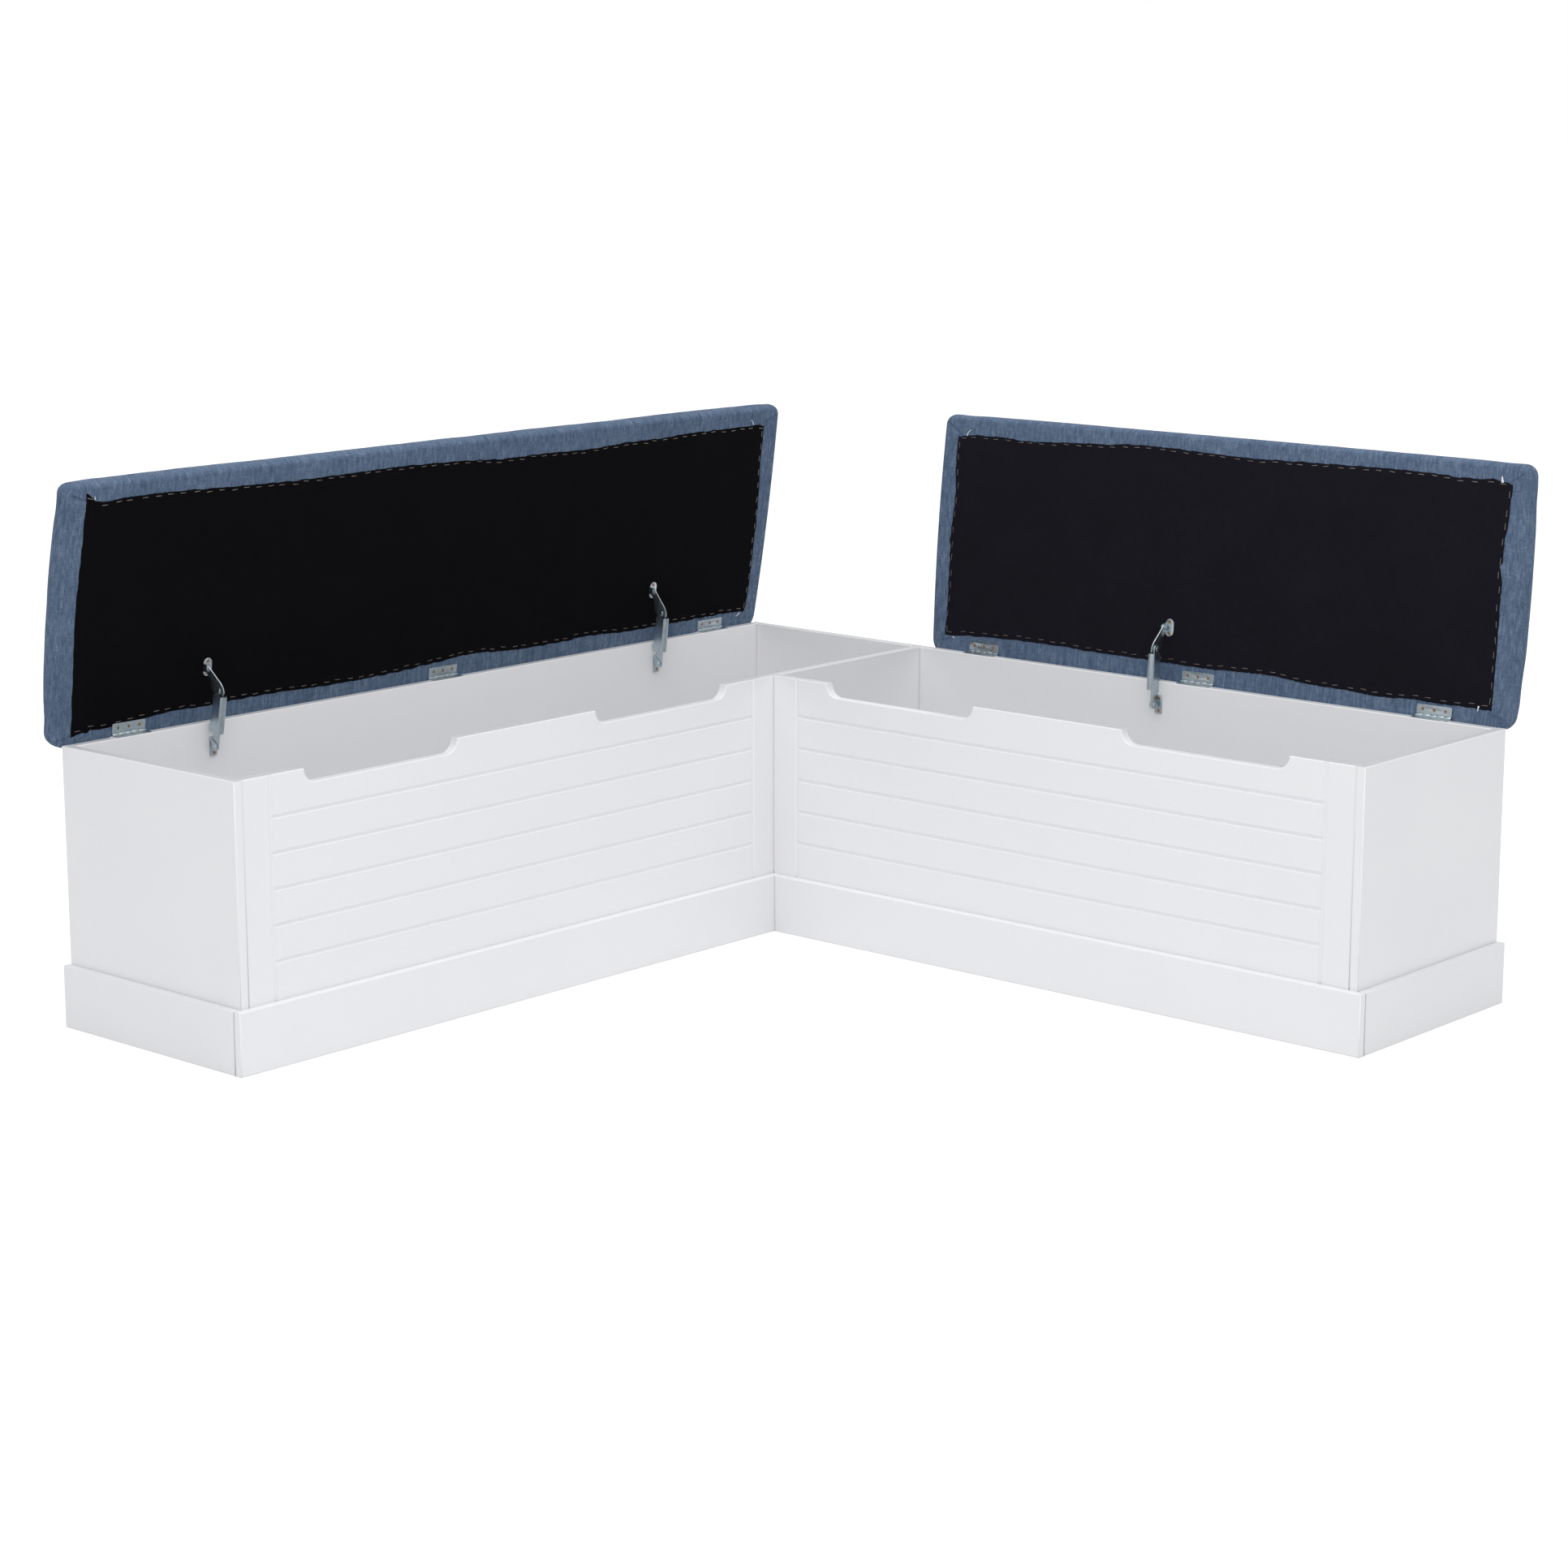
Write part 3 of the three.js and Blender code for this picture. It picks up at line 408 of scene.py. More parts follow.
def placed(start, ways, parts):
    """Points in metres: a start plus a part of each way, in millimetres."""
    place = start
    for part, way in zip(np.broadcast_arrays(*parts), ways):
        place = place + part[..., None] * way
    return place * MM


def on_lid(side, *parts):
    """Points in metres from their places on a lid: along its axis, up it and out of it."""
    start, *ways = lid_axes(side)
    return placed(start, ways, parts)


def beside_axis(side, *parts):
    """Points in metres from places about a hinge axis: along it, to the front and up."""
    lid = LIDS[side]
    return placed(lid["start"], (lid["along"], lid["front"], UPRIGHT), parts)


# Materials


def set_inputs(node, inputs):
    """Joins each of a node's inputs that is given as a socket, and sets any other."""
    for name, value in inputs.items():
        if isinstance(value, bpy.types.NodeSocket):
            node.id_data.links.new(value, node.inputs[name])
        else:
            node.inputs[name].default_value = value


def add_node(tree, kind, inputs=None, **settings):
    """A shader node with its settings and inputs."""
    made = tree.nodes.new(kind)
    for name, value in settings.items():
        setattr(made, name, value)
    set_inputs(made, inputs or {})
    return made


def maths(operation, first, second=0.0, clamp=False):
    """A maths node's output, in the tree of whichever input is a socket."""
    tree = (first if isinstance(first, bpy.types.NodeSocket) else second).id_data
    inputs = {0: first, 1: second}
    return add_node(tree, "ShaderNodeMath", inputs, operation=operation, use_clamp=clamp).outputs[0]


def times(first, second, clamp=False):
    return maths("MULTIPLY", first, second, clamp)


def minus(first, second):
    return maths("SUBTRACT", first, second)


def plus(first, *others):
    for other in others:
        first = maths("ADD", first, other)
    return first


def blended(share, first, second):
    """A colour between two colours."""
    inputs = {0: share, 6: first, 7: second}
    return add_node(share.id_data, "ShaderNodeMix", inputs, data_type="RGBA").outputs[2]


def ranged(value, from_low, from_high, low=0.0, high=1.0):
    """A value moved from one range to another, held at its ends."""
    inputs = {"Value": value, "From Min": from_low, "From Max": from_high, "To Min": low, "To Max": high}
    return add_node(value.id_data, "ShaderNodeMapRange", inputs).outputs[0]


def noise(vector, scale, detail=2.0, roughness=0.5, stretch=None):
    """A noise texture's value on a vector that may be stretched first."""
    tree = vector.id_data
    if stretch:
        inputs = {0: vector, 1: stretch}
        vector = add_node(tree, "ShaderNodeVectorMath", inputs, operation="MULTIPLY").outputs[0]
    inputs = {"Vector": vector, "Scale": scale, "Detail": detail, "Roughness": roughness}
    return add_node(tree, "ShaderNodeTexNoise", inputs).outputs[0]


def new_group(name, inputs, outputs=("Color", "Height")):
    """A shader node group with a vector, these colours and numbers going in, and these values coming out.
    Returns the sockets that go in and the output node."""
    tree = bpy.data.node_groups.new(name, "ShaderNodeTree")
    tree.interface.new_socket("Vector", in_out="INPUT", socket_type="NodeSocketVector")
    for label, default in inputs.items():
        kind = "NodeSocketFloat" if isinstance(default, float) else "NodeSocketColor"
        tree.interface.new_socket(label, in_out="INPUT", socket_type=kind).default_value = default
    for label in outputs:
        kind = "NodeSocketColor" if label == "Color" else "NodeSocketFloat"
        tree.interface.new_socket(label, in_out="OUTPUT", socket_type=kind)
    return tree.nodes.new("NodeGroupInput").outputs, tree.nodes.new("NodeGroupOutput")


def build_weave(name):
    """Threads both ways with slubs along the warp, patches of faded dye, and painted shade along the folds,
    from a point value.
    """
    get, result = new_group(name, {
        "Dark": (0.06, 0.11, 0.2, 1), "Middle": (0.1, 0.17, 0.28, 1), "Light": (0.2, 0.28, 0.4, 1),
        "Thread": 0.001, "Slub": 0.5, "Patches": 0.3, "Crease": 0.0,
    })
    place = get["Vector"]
    number = maths("DIVIDE", 1.0, get["Thread"])
    warp = noise(place, times(number, 0.5), 3, 0.6, (1, 0.16, 1))
    slub = noise(place, times(number, 0.2), 2, 0.5, (1, 0.2, 1))
    weft = noise(place, times(number, 0.45), 2, 0.5, (0.2, 1, 1))
    fuzz = noise(place, times(number, 0.33), 3, 0.65)
    patch = noise(place, 9.0, 3, 0.6)
    axes = add_node(place.id_data, "ShaderNodeSeparateXYZ", {0: place}).outputs
    turns = times(number, 2 * math.pi)
    weave = times(*(maths("SINE", times(axes[axis], turns)) for axis in (0, 1)))
    threads = plus(times(warp, 0.36), times(slub, 0.26), times(weft, 0.16), times(fuzz, 0.22))
    spread = times(minus(threads, 0.5), times(get["Slub"], 5.0))
    faded = times(minus(patch, 0.5), times(get["Patches"], 2.0))
    tone = plus(spread, faded, times(weave, 0.06))
    low = blended(times(tone, -1.6, clamp=True), get["Middle"], get["Dark"])
    colour = blended(times(tone, 1.6, clamp=True), low, get["Light"])
    # The fold value darkens the colour towards the dark threads and then near black: painted shade in the
    # folds
    shade = times(get["Crease"], 0.5, clamp=True)
    fold_shaded_colour = blended(shade, colour, get["Dark"])
    deep_fold_shade = blended(times(shade, 0.5), fold_shaded_colour, (0.01, 0.015, 0.03, 1))
    set_inputs(result, {"Color": deep_fold_shade, "Height": plus(times(weave, 0.25), times(threads, 1.2))})


def build_lacquer(name):
    """Sprayed paint: faint cloudiness and orange peel, with a greyer tone on the boards' upper edges that is
    painted shade from the lids over them, and a lighter line where their faces meet them that is a painted
    highlight."""
    get, result = new_group(name, {
        "Face": (0.8, 0.8, 0.82, 1), "Edge": (0.6, 0.6, 0.62, 1), "Peel": 300.0, "Roughness": 0.4,
        "Edge height": UPPER_EDGE,
    }, ("Color", "Roughness", "Height"))
    place = get["Vector"]
    cloud, grain = noise(place, 4.0, 3, 0.55), noise(place, get["Peel"])
    height = add_node(place.id_data, "ShaderNodeSeparateXYZ", {0: place}).outputs[2]
    above = minus(height, get["Edge height"])
    # A thin band about the upper edges' height turns lighter: a painted highlight on the arris
    edge_highlight = blended(ranged(above, -0.0004, 0.0, 0.0, 0.5), get["Face"], (0.93, 0.93, 0.94, 1))
    # Above that height the edge colour greys the upper edges: painted shade from the lids over them
    edge_shaded = blended(ranged(above, 0.0006, 0.00065), edge_highlight, get["Edge"])
    tinted = blended(ranged(cloud, 0.35, 0.7, 0.0, 0.05), edge_shaded, (0.62, 0.64, 0.70, 1))
    speckled = blended(ranged(grain, 0.5, 0.8, 0.0, 0.06), tinted, (0.55, 0.55, 0.58, 1))
    rough = plus(get["Roughness"], ranged(cloud, 0.3, 0.7, -0.05, 0.06))
    set_inputs(result, {"Color": speckled, "Roughness": rough, "Height": grain})


def build_plating(name):
    """Zinc or brass plating: soft spangle, fine scratches and a passivated tint in patches, with painted
    shade in recesses from a point value.
    """
    get, result = new_group(name, {
        "Metal": (0.5, 0.56, 0.6, 1), "Tint": (0.6, 0.55, 0.3, 1), "Roughness": 0.3, "Tinting": 0.2,
        "Dirt": 0.0,
    }, ("Color", "Roughness", "Height"))
    place = get["Vector"]
    cells = {"Vector": place, "Scale": 420.0}
    spangle = add_node(place.id_data, "ShaderNodeTexVoronoi", cells, feature="F1").outputs["Color"]
    spot = add_node(place.id_data, "ShaderNodeSeparateColor", {0: spangle}).outputs[0]
    patch = noise(place, 90.0, 3, 0.6)
    scratch = noise(place, 900.0, 2, 0.5, (1, 1, 0.08))
    darker = blended(ranged(spot, 0.0, 1.0, 0.0, 0.22), get["Metal"], (0.22, 0.26, 0.3, 1))
    tinted = blended(times(ranged(patch, 0.5, 0.72), get["Tinting"]), darker, get["Tint"])
    # The point value darkens the colour nearly to black: painted shade in the screws' cross recesses
    recess_shaded = blended(get["Dirt"], tinted, (0.03, 0.02, 0.015, 1))
    rough = plus(get["Roughness"], ranged(scratch, 0.3, 0.8, -0.04, 0.12))
    set_inputs(result, {"Color": recess_shaded, "Roughness": rough, "Height": noise(place, 240.0)})


def build_grain(name):
    """Mottled pulp, board or foam: two scales of noise between two colours."""
    get, result = new_group(name, {
        "Base": (0.5, 0.4, 0.3, 1), "Fleck": (0.3, 0.2, 0.1, 1), "Scale": 300.0, "Contrast": 0.5,
    })
    fine = noise(get["Vector"], get["Scale"], 3, 0.6)
    broad = noise(get["Vector"], times(get["Scale"], 0.05))
    both = plus(times(fine, 0.65), times(broad, 0.35))
    share = times(ranged(both, 0.4, 0.65), get["Contrast"])
    set_inputs(result, {"Color": blended(share, get["Base"], get["Fleck"]), "Height": fine})


GROUPS = {
    "woven fabric": build_weave,
    "sprayed lacquer": build_lacquer,
    "metal plating": build_plating,
    "mottled grain": build_grain,
}


def new_material(name, group, values, fixed, bump, vector="Object", attribute=None):
    """A finish: a shared group, built once, feeds a shader's colour, roughness and bump; its other values are
    fixed. vector is Object or UV; attribute is a group input and the point value that feeds it."""
    if name in bpy.data.materials:
        return bpy.data.materials[name]
    if group not in bpy.data.node_groups:
        GROUPS[group](group)
    material = bpy.data.materials.new(name)
    material.use_nodes = True
    tree = material.node_tree
    inputs = {"Vector": add_node(tree, "ShaderNodeTexCoord").outputs[vector], **values}
    if attribute:
        source = add_node(tree, "ShaderNodeAttribute", attribute_name=attribute[1])
        inputs[attribute[0]] = source.outputs["Fac"]
    made = add_node(tree, "ShaderNodeGroup", inputs, node_tree=bpy.data.node_groups[group]).outputs
    relief = {"Strength": bump[0], "Distance": bump[1], "Height": made["Height"]}
    normal = add_node(tree, "ShaderNodeBump", relief).outputs[0]
    feed = {"Base Color": made["Color"], "Normal": normal, **fixed}
    if "Roughness" in made:
        feed["Roughness"] = made["Roughness"]
    set_inputs(tree.nodes["Principled BSDF"], feed)
    material.diffuse_color = next(values[key] for key in ("Face", "Middle", "Metal", "Base") if key in values)
    return material


def opaque(colour):
    """A colour property with full opacity."""
    return (*colour, 1.0)


def paint_material(paint, part="face"):
    """Lacquer for the boards, with painted shade on their upper edges, or for the lines on their joints, grey
    as painted shade, and on their corners, light as a painted highlight; these lines have no darker edge.
    """
    name, edge, roughness, edge_height, coat = {
        # The boards' edge colour is painted shade on their upper edges
        "face": ("white lacquer", paint.edge, paint.roughness, UPPER_EDGE, 0.12),
        # The joints' line is grey: painted shade where the boards meet
        "joint": ("board joints", paint.joint, 0.6, 1.0, 0.0),
        # The corners' line is lighter than the faces: a painted highlight on the outer corners
        "corner": ("board corners", paint.corner, 0.35, 1.0, 0.12),
    }[part]
    values = {
        "Face": opaque(getattr(paint, part)), "Edge": opaque(edge), "Roughness": roughness,
        "Edge height": edge_height,
    }
    return new_material(name, "sprayed lacquer", values, {"Coat Weight": coat}, (0.12, 0.0002))


def fabric_material(fabric):
    values = {
        "Dark": opaque(fabric.dark), "Middle": opaque(fabric.middle), "Light": opaque(fabric.light),
        "Thread": fabric.thread, "Slub": fabric.slub, "Patches": fabric.patches,
    }
    fixed = {"Roughness": 0.9, "Sheen Weight": 0.06, "Sheen Roughness": 0.5, "Specular IOR Level": 0.2}
    bump = (0.35, 0.0004)
    return new_material("blue upholstery", "woven fabric", values, fixed, bump, "UV", ("Crease", "crease"))


def cloth_material(cloth, side):
    """Black cloth, a third darker and half lighter than its colour in its threads."""
    colour = getattr(cloth, side)
    values = {
        "Dark": opaque([0.7 * part for part in colour]), "Middle": opaque(colour),
        "Light": opaque([1.5 * part for part in colour]), "Thread": 0.0007, "Slub": 0.35, "Patches": 0.35,
    }
    fixed = {"Roughness": 0.95, "Sheen Weight": 0.01, "Specular IOR Level": 0.06}
    name, bump = f"black cloth {side}", (0.3, 0.0003)
    return new_material(name, "woven fabric", values, fixed, bump, "UV", ("Crease", "crease"))


def metal_material(steel, kind):
    """Plated steel: the name, the colour, tint and roughness of its plating, how much of it is tinted, the
    bump's depth in metres, and the point value that darkens it as painted shade in its recesses."""
    name, colour, tint, roughness, tinting, depth, attribute = {
        "zinc": ("zinc plate", steel.zinc, steel.tint, steel.roughness, 0.25, 0.00005, None),
        # The screws' cross recesses get painted shade from their recess value
        "brass": ("yellow screws", steel.brass, (0.35, 0.2, 0.08), 0.34, 0.5, 0.0001, ("Dirt", "recess")),
        "staple": ("staple wire", steel.staple, (0.12, 0.09, 0.07), 0.42, 0.6, 0.0001, None),
    }[kind]
    values = {"Metal": opaque(colour), "Tint": opaque(tint), "Roughness": roughness, "Tinting": tinting}
    bump = (0.05, depth)
    return new_material(name, "metal plating", values, {"Metallic": 1.0}, bump, "Object", attribute)


# Base and fleck colours, the flecks' scale and contrast, the roughness and the bump
MOTTLED = {
    "white cord": ((0.86, 0.87, 0.9, 1), (0.6, 0.62, 0.68, 1), 900.0, 0.5, 0.8, (0.3, 0.0003)),
    "raw board": ((0.45, 0.31, 0.18, 1), (0.27, 0.17, 0.09, 1), 420.0, 0.8, 0.85, (0.2, 0.0003)),
    "seat foam": ((0.8, 0.72, 0.45, 1), (0.6, 0.5, 0.28, 1), 700.0, 0.5, 0.95, (0.4, 0.0005)),
}


def mottled_material(name):
    base, fleck, scale, contrast, roughness, bump = MOTTLED[name]
    values = {"Base": base, "Fleck": fleck, "Scale": scale, "Contrast": contrast}
    return new_material(name, "mottled grain", values, {"Roughness": roughness}, bump)


def finish_node(node, material):
    """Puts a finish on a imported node."""
    for slot in frame["nodes"][node].material_slots:
        slot.material = material


# Lids


def side_shares(length, step):
    """Shares along a side whose points stand close together near its two ends and step apart between them."""
    ends = np.array([1, 2, 3.5, 5.5, 8, 11, 15])
    count = max(2, round((length - 2 * ends[-1]) / step) + 1)
    middle = np.linspace(ends[-1], length - ends[-1], count)[1:-1]
    return np.concatenate([ends, middle, length - ends[::-1]]) / length


def outline_columns(half_length, half_depth, step=4.0, corner_steps=8):
    """The columns of a cushion's rings: for each, the corner it starts from, the corner it ends at, its
    normal's angle, and its share of the way between them. Corner columns turn a quarter, side columns go
    straight."""
    corners = np.array([[1, 1], [-1, 1], [-1, -1], [1, -1]], float)
    parts = []
    for index in range(4):
        here, ahead = corners[index], corners[(index + 1) % 4]
        turn = (index + np.linspace(0, 1, corner_steps + 1)) * np.pi / 2
        length = 2 * (half_length if here[1] == ahead[1] else half_depth) - 2 * CORNER_RADIUS
        share = side_shares(length, step)
        for end, angle, way in ((here, turn, 0), (ahead, turn[-1], share)):
            parts.append(np.stack(np.broadcast_arrays(*here, *end, angle, way), 1))
    return np.concatenate(parts).T


def ring_points(columns, half_length, half_depth, inset):
    """Rings x columns of outline points: a rectangle with round corners, drawn in by each ring's inset.
    A point is its corner's centre plus the radius times its normal, or lies between two such points; then the
    ends and sides bow outwards by a parabola."""
    inset = inset[:, None]
    a, b = half_length - inset, half_depth - inset
    radius = np.minimum(np.maximum(CORNER_RADIUS - inset, INNER_RADIUS), b)
    from_x, from_y, to_x, to_y, turn, share = columns
    x = (from_x + (to_x - from_x) * share) * (a - radius) + radius * np.cos(turn)
    y = (from_y + (to_y - from_y) * share) * (b - radius) + radius * np.sin(turn)
    bowed_x = x * (1 + END_BOW / half_length * (1 - (y / half_depth) ** 2))
    bowed_y = y * (1 + SIDE_BOW / half_depth * (1 - (x / half_length) ** 2))
    return bowed_x, bowed_y


def grid_normals(points):
    """Outward unit normals of a grid of points whose columns close round: the cross product of its slopes."""
    normal = np.cross(np.roll(points, -1, 1) - np.roll(points, 1, 1), np.gradient(points, axis=0))
    return normal / np.maximum(np.linalg.norm(normal, axis=-1, keepdims=True), 1e-9)


def cover_sizes(side):
    """Half a cover's length, half its depth, and its middle on the lid."""
    (low, high), front = LIDS[side]["ends"], LIDS[side]["front_edge"]
    middle = np.array([(low + high) / 2, (LID_REAR + front) / 2, UNDERSIDE])
    return (high - low) / 2, (front - LID_REAR) / 2, middle


def cover_rings(half_depth):
    """A cover's rings from the middle of its underside, out round the edge and in over the crown: each ring's
    inset from the outline and its height, how many lie under the board, and which one the crown starts with.
    The edge swells as the cosine to the power 0.7."""
    hidden = np.array([half_depth, half_depth * 0.6, 60, FLANGE + 2])
    flange = np.concatenate([[FLANGE, FLANGE - 1], np.arange(FLANGE - 2, 6, -1.5)])
    relief = 0.15 + 0.15 * smoothstep(flange, 12, 30) + 0.6 * smoothstep(flange, FLANGE - 1.6, FLANGE)
    angles = np.radians(np.concatenate([np.linspace(-90, 0, 8), np.linspace(0, 90, 13)[1:]]))
    rounding = np.where(angles < 0, LOWER_ROUND, UPPER_ROUND)
    edge = rounding - (rounding + EDGE_BULGE) * np.maximum(np.cos(angles), 0) ** 0.7
    edge_height = EDGE_HEIGHT / 2 * (1 + np.sin(angles))
    crown = UPPER_ROUND + (half_depth - UPPER_ROUND) * np.linspace(0, 1, 30)[1:] ** 0.9
    inset = np.concatenate([hidden, flange, edge, crown])
    levels = (np.ones(len(hidden)), relief, edge_height, np.full(len(crown), float(EDGE_HEIGHT)))
    return inset, np.concatenate(levels), len(hidden) + len(flange), len(inset) - len(crown)


def cover_form(side, columns, inset, height, crown_start):
    """x, y and z of a cover's form on its rings. The crown rises as (1 - x^6)(1 - y^2), the form gets thinner
    towards its corners, and the rear edge hangs past the board except where a hinge draws it in."""
    half_length, half_depth, middle = cover_sizes(side)
    x, y = ring_points(columns, half_length, half_depth, inset)
    rise_x = 1 - np.minimum(np.abs(x) / (half_length - UPPER_ROUND), 1) ** 6
    rise_y = 1 - np.minimum(np.abs(y) / (half_depth - UPPER_ROUND), 1) ** 2
    on_crown = np.arange(len(inset)) >= crown_start
    z = height[:, None] + on_crown[:, None] * (CROWN_HEIGHT - EDGE_HEIGHT) * rise_x * rise_y
    to_corner = np.hypot(half_length - np.abs(x), half_depth - np.abs(y))
    z = z * (1 - CORNER_THINNING * np.exp(-((to_corner / THINNED_REACH) ** 2)))
    to_hinge = np.min(np.abs(x[..., None] + middle[0] - hinge_middles(side)), axis=-1)
    free = np.maximum(smoothstep(to_hinge, 30.6, 33), smoothstep(height, 2.5, 9)[:, None])
    tuck = np.interp(height, TUCK_HEIGHTS, LIDS[side]["tuck"]) * np.interp(inset, [5, 14], [1, 0])
    facing_rear = np.maximum(-np.sin(columns[4]), 0) ** 0.7
    return x, y - facing_rear * free * np.where(on_crown, 0, tuck)[:, None], z


def cover_relief(side, folds, x, y, z, inset, under):
    """What stands out of a cover's form, and its fold shade value, painted shade along the corner folds and
    the
    pleat: soft swells over the crown, folds that fan out of each corner, small pulls between the staples, and
    the flap folded over at each corner of the underside."""
    half_length, half_depth, _ = cover_sizes(side)
    seed, pleated = LIDS[side]["seed"], LIDS[side]["pleat"]
    underside, inset = (np.arange(len(inset)) < under)[:, None], inset[:, None]
    from_end, from_side = half_length - np.abs(x), half_depth - np.abs(y)
    soft = sum(size * swell(x, y, length, seed + step) for step, (length, size) in enumerate(SWELLS))
    reach = np.hypot(np.maximum(from_end, 0), np.maximum(from_side, 0))
    fan = np.arctan2(np.maximum(from_side, 0.01), np.maximum(from_end, 0.01))
    distance, spread, turns = CORNER_FOLD
    folded = folds * np.exp(-(((reach - distance) / spread) ** 2)) * np.cos(fan * turns + seed + 0.05 * reach)
    length, size = EDGE_PULL
    edge_pull = size * ripple(x + y * np.sign(x), length, seed + 2) * np.exp(-(((z - 20) / 16) ** 2))
    lift = np.where(underside, 0, soft * smoothstep(z, 8, 40) + folded * smoothstep(z, 2, 14) + edge_pull)

    # The corner fold: on the side's part of a slanting line the cloth lies over the end's
    start, slope = [np.where(y > 0, front, rear) for front, rear in zip(*LIDS[side]["folds"])]
    over = start + slope * np.maximum(from_end, 0) + 0.8 * np.sin(from_end / 7 + seed) - from_side
    near = smoothstep(from_end, -1, 3) * (1 - smoothstep(from_end, 32, 38)) * (inset > 4)
    # Painted shade along the corner fold's line, on the underside and the lowest edge
    crease = np.where(underside | (z < 3), np.exp(-(over**2)) * near, 0)
    length, size = STAPLE_PULL
    pulls = ripple(x, length, seed + 4) * (from_side < 60) + ripple(y, length, seed + 5) * (from_end < 60)
    lift = lift - np.where(underside, size * (1 - np.abs(pulls)) * smoothstep(inset, 10, 24), 0)
    flap = smoothstep(over, -0.5, 0.5) * np.exp(-np.maximum(over, 0) / 9)
    at_corner = (1 - smoothstep(from_side, 22, 48)) * (y < 0) * (x < 0)
    pleat = pleated * np.exp(-(((from_end - 10) / 3.5) ** 2)) * at_corner
    raised = 0.45 * flap * near * (1 - smoothstep(from_end, 22, 28)) + 0.6 * pleat
    lift = lift + np.where(underside, raised * smoothstep(inset, 5, 9), 0)
    # Painted shade along the pleat
    crease = crease + 0.5 * pleat * smoothstep(from_end, 11, 13) * underside
    return lift * (inset < half_depth - 1), crease


def unrolled(side, columns, x, y, inset, height, rim):
    """A cover's faces and the unrolled cloth's place of each face corner in metres: the crown's own plane,
    and from its rim outwards the arc length along the section, straight down the sides or the ends."""
    steps = np.hypot(np.diff(inset), np.diff(height))
    spent = np.concatenate([np.cumsum(steps[:rim][::-1])[::-1], np.zeros(len(inset) - rim)])[:, None]
    ways = [(x, y), (x, y[rim] + np.sign(y) * spent), (x[rim] + np.sign(x) * spent, y)]
    middle = cover_sizes(side)[2][:2]
    maps = np.stack([np.stack(way, -1).reshape(-1, 2) + middle for way in ways]) * MM
    faces = grid_faces(*x.shape, closed=True)
    row, column = np.divmod(np.arange(len(faces)), x.shape[1])
    on_side = np.abs(np.sin(columns[4])) > np.abs(np.cos(columns[4]))
    chosen = np.where(row >= rim, 0, np.where(on_side[column], 1, 2))
    return faces, maps[chosen[:, None], faces]


def cushion(side, folds):
    """A lid's cover: its form, with its relief added along the normals. Returns points in metres, faces, the
    unrolled cloth's place of each face corner, and the painted shade along its folds."""
    half_length, half_depth, middle = cover_sizes(side)
    columns = outline_columns(half_length, half_depth)
    inset, height, under, crown_start = cover_rings(half_depth)
    x, y, z = cover_form(side, columns, inset, height, crown_start)
    lift, crease = cover_relief(side, folds, x, y, z, inset, under)
    points = np.stack([x, y, z], -1)
    points = points + grid_normals(points) * lift[..., None]
    points[..., 2] = np.maximum(points[..., 2], LOWEST)
    faces, flat = unrolled(side, columns, x, y, inset, height, crown_start - 1)
    return on_lid(side, *np.moveaxis(points + middle, -1, 0)), faces, flat, crease


def vertex_places(mesh):
    places = np.empty(len(mesh.vertices) * 3, np.float32)
    mesh.vertices.foreach_get("co", places)
    return places.reshape(-1, 3)


def evaluated_copy(thing):
    """A new mesh of an object as its modifiers leave it."""
    return bpy.data.meshes.new_from_object(thing.evaluated_get(bpy.context.evaluated_depsgraph_get()))


def even_copy(piece):
    """A closed copy of a piece in a new object, with even triangles of about one voxel."""
    copy = new_object(f"{piece.name}_even", piece.data.copy())
    remesh = copy.modifiers.new("even", "REMESH")
    remesh.mode, remesh.voxel_size = "VOXEL", FOAM["voxel"]
    copy.modifiers.new("triangles", "TRIANGULATE")
    mesh = evaluated_copy(copy)
    copy.modifiers.clear()
    copy.data = mesh
    return copy


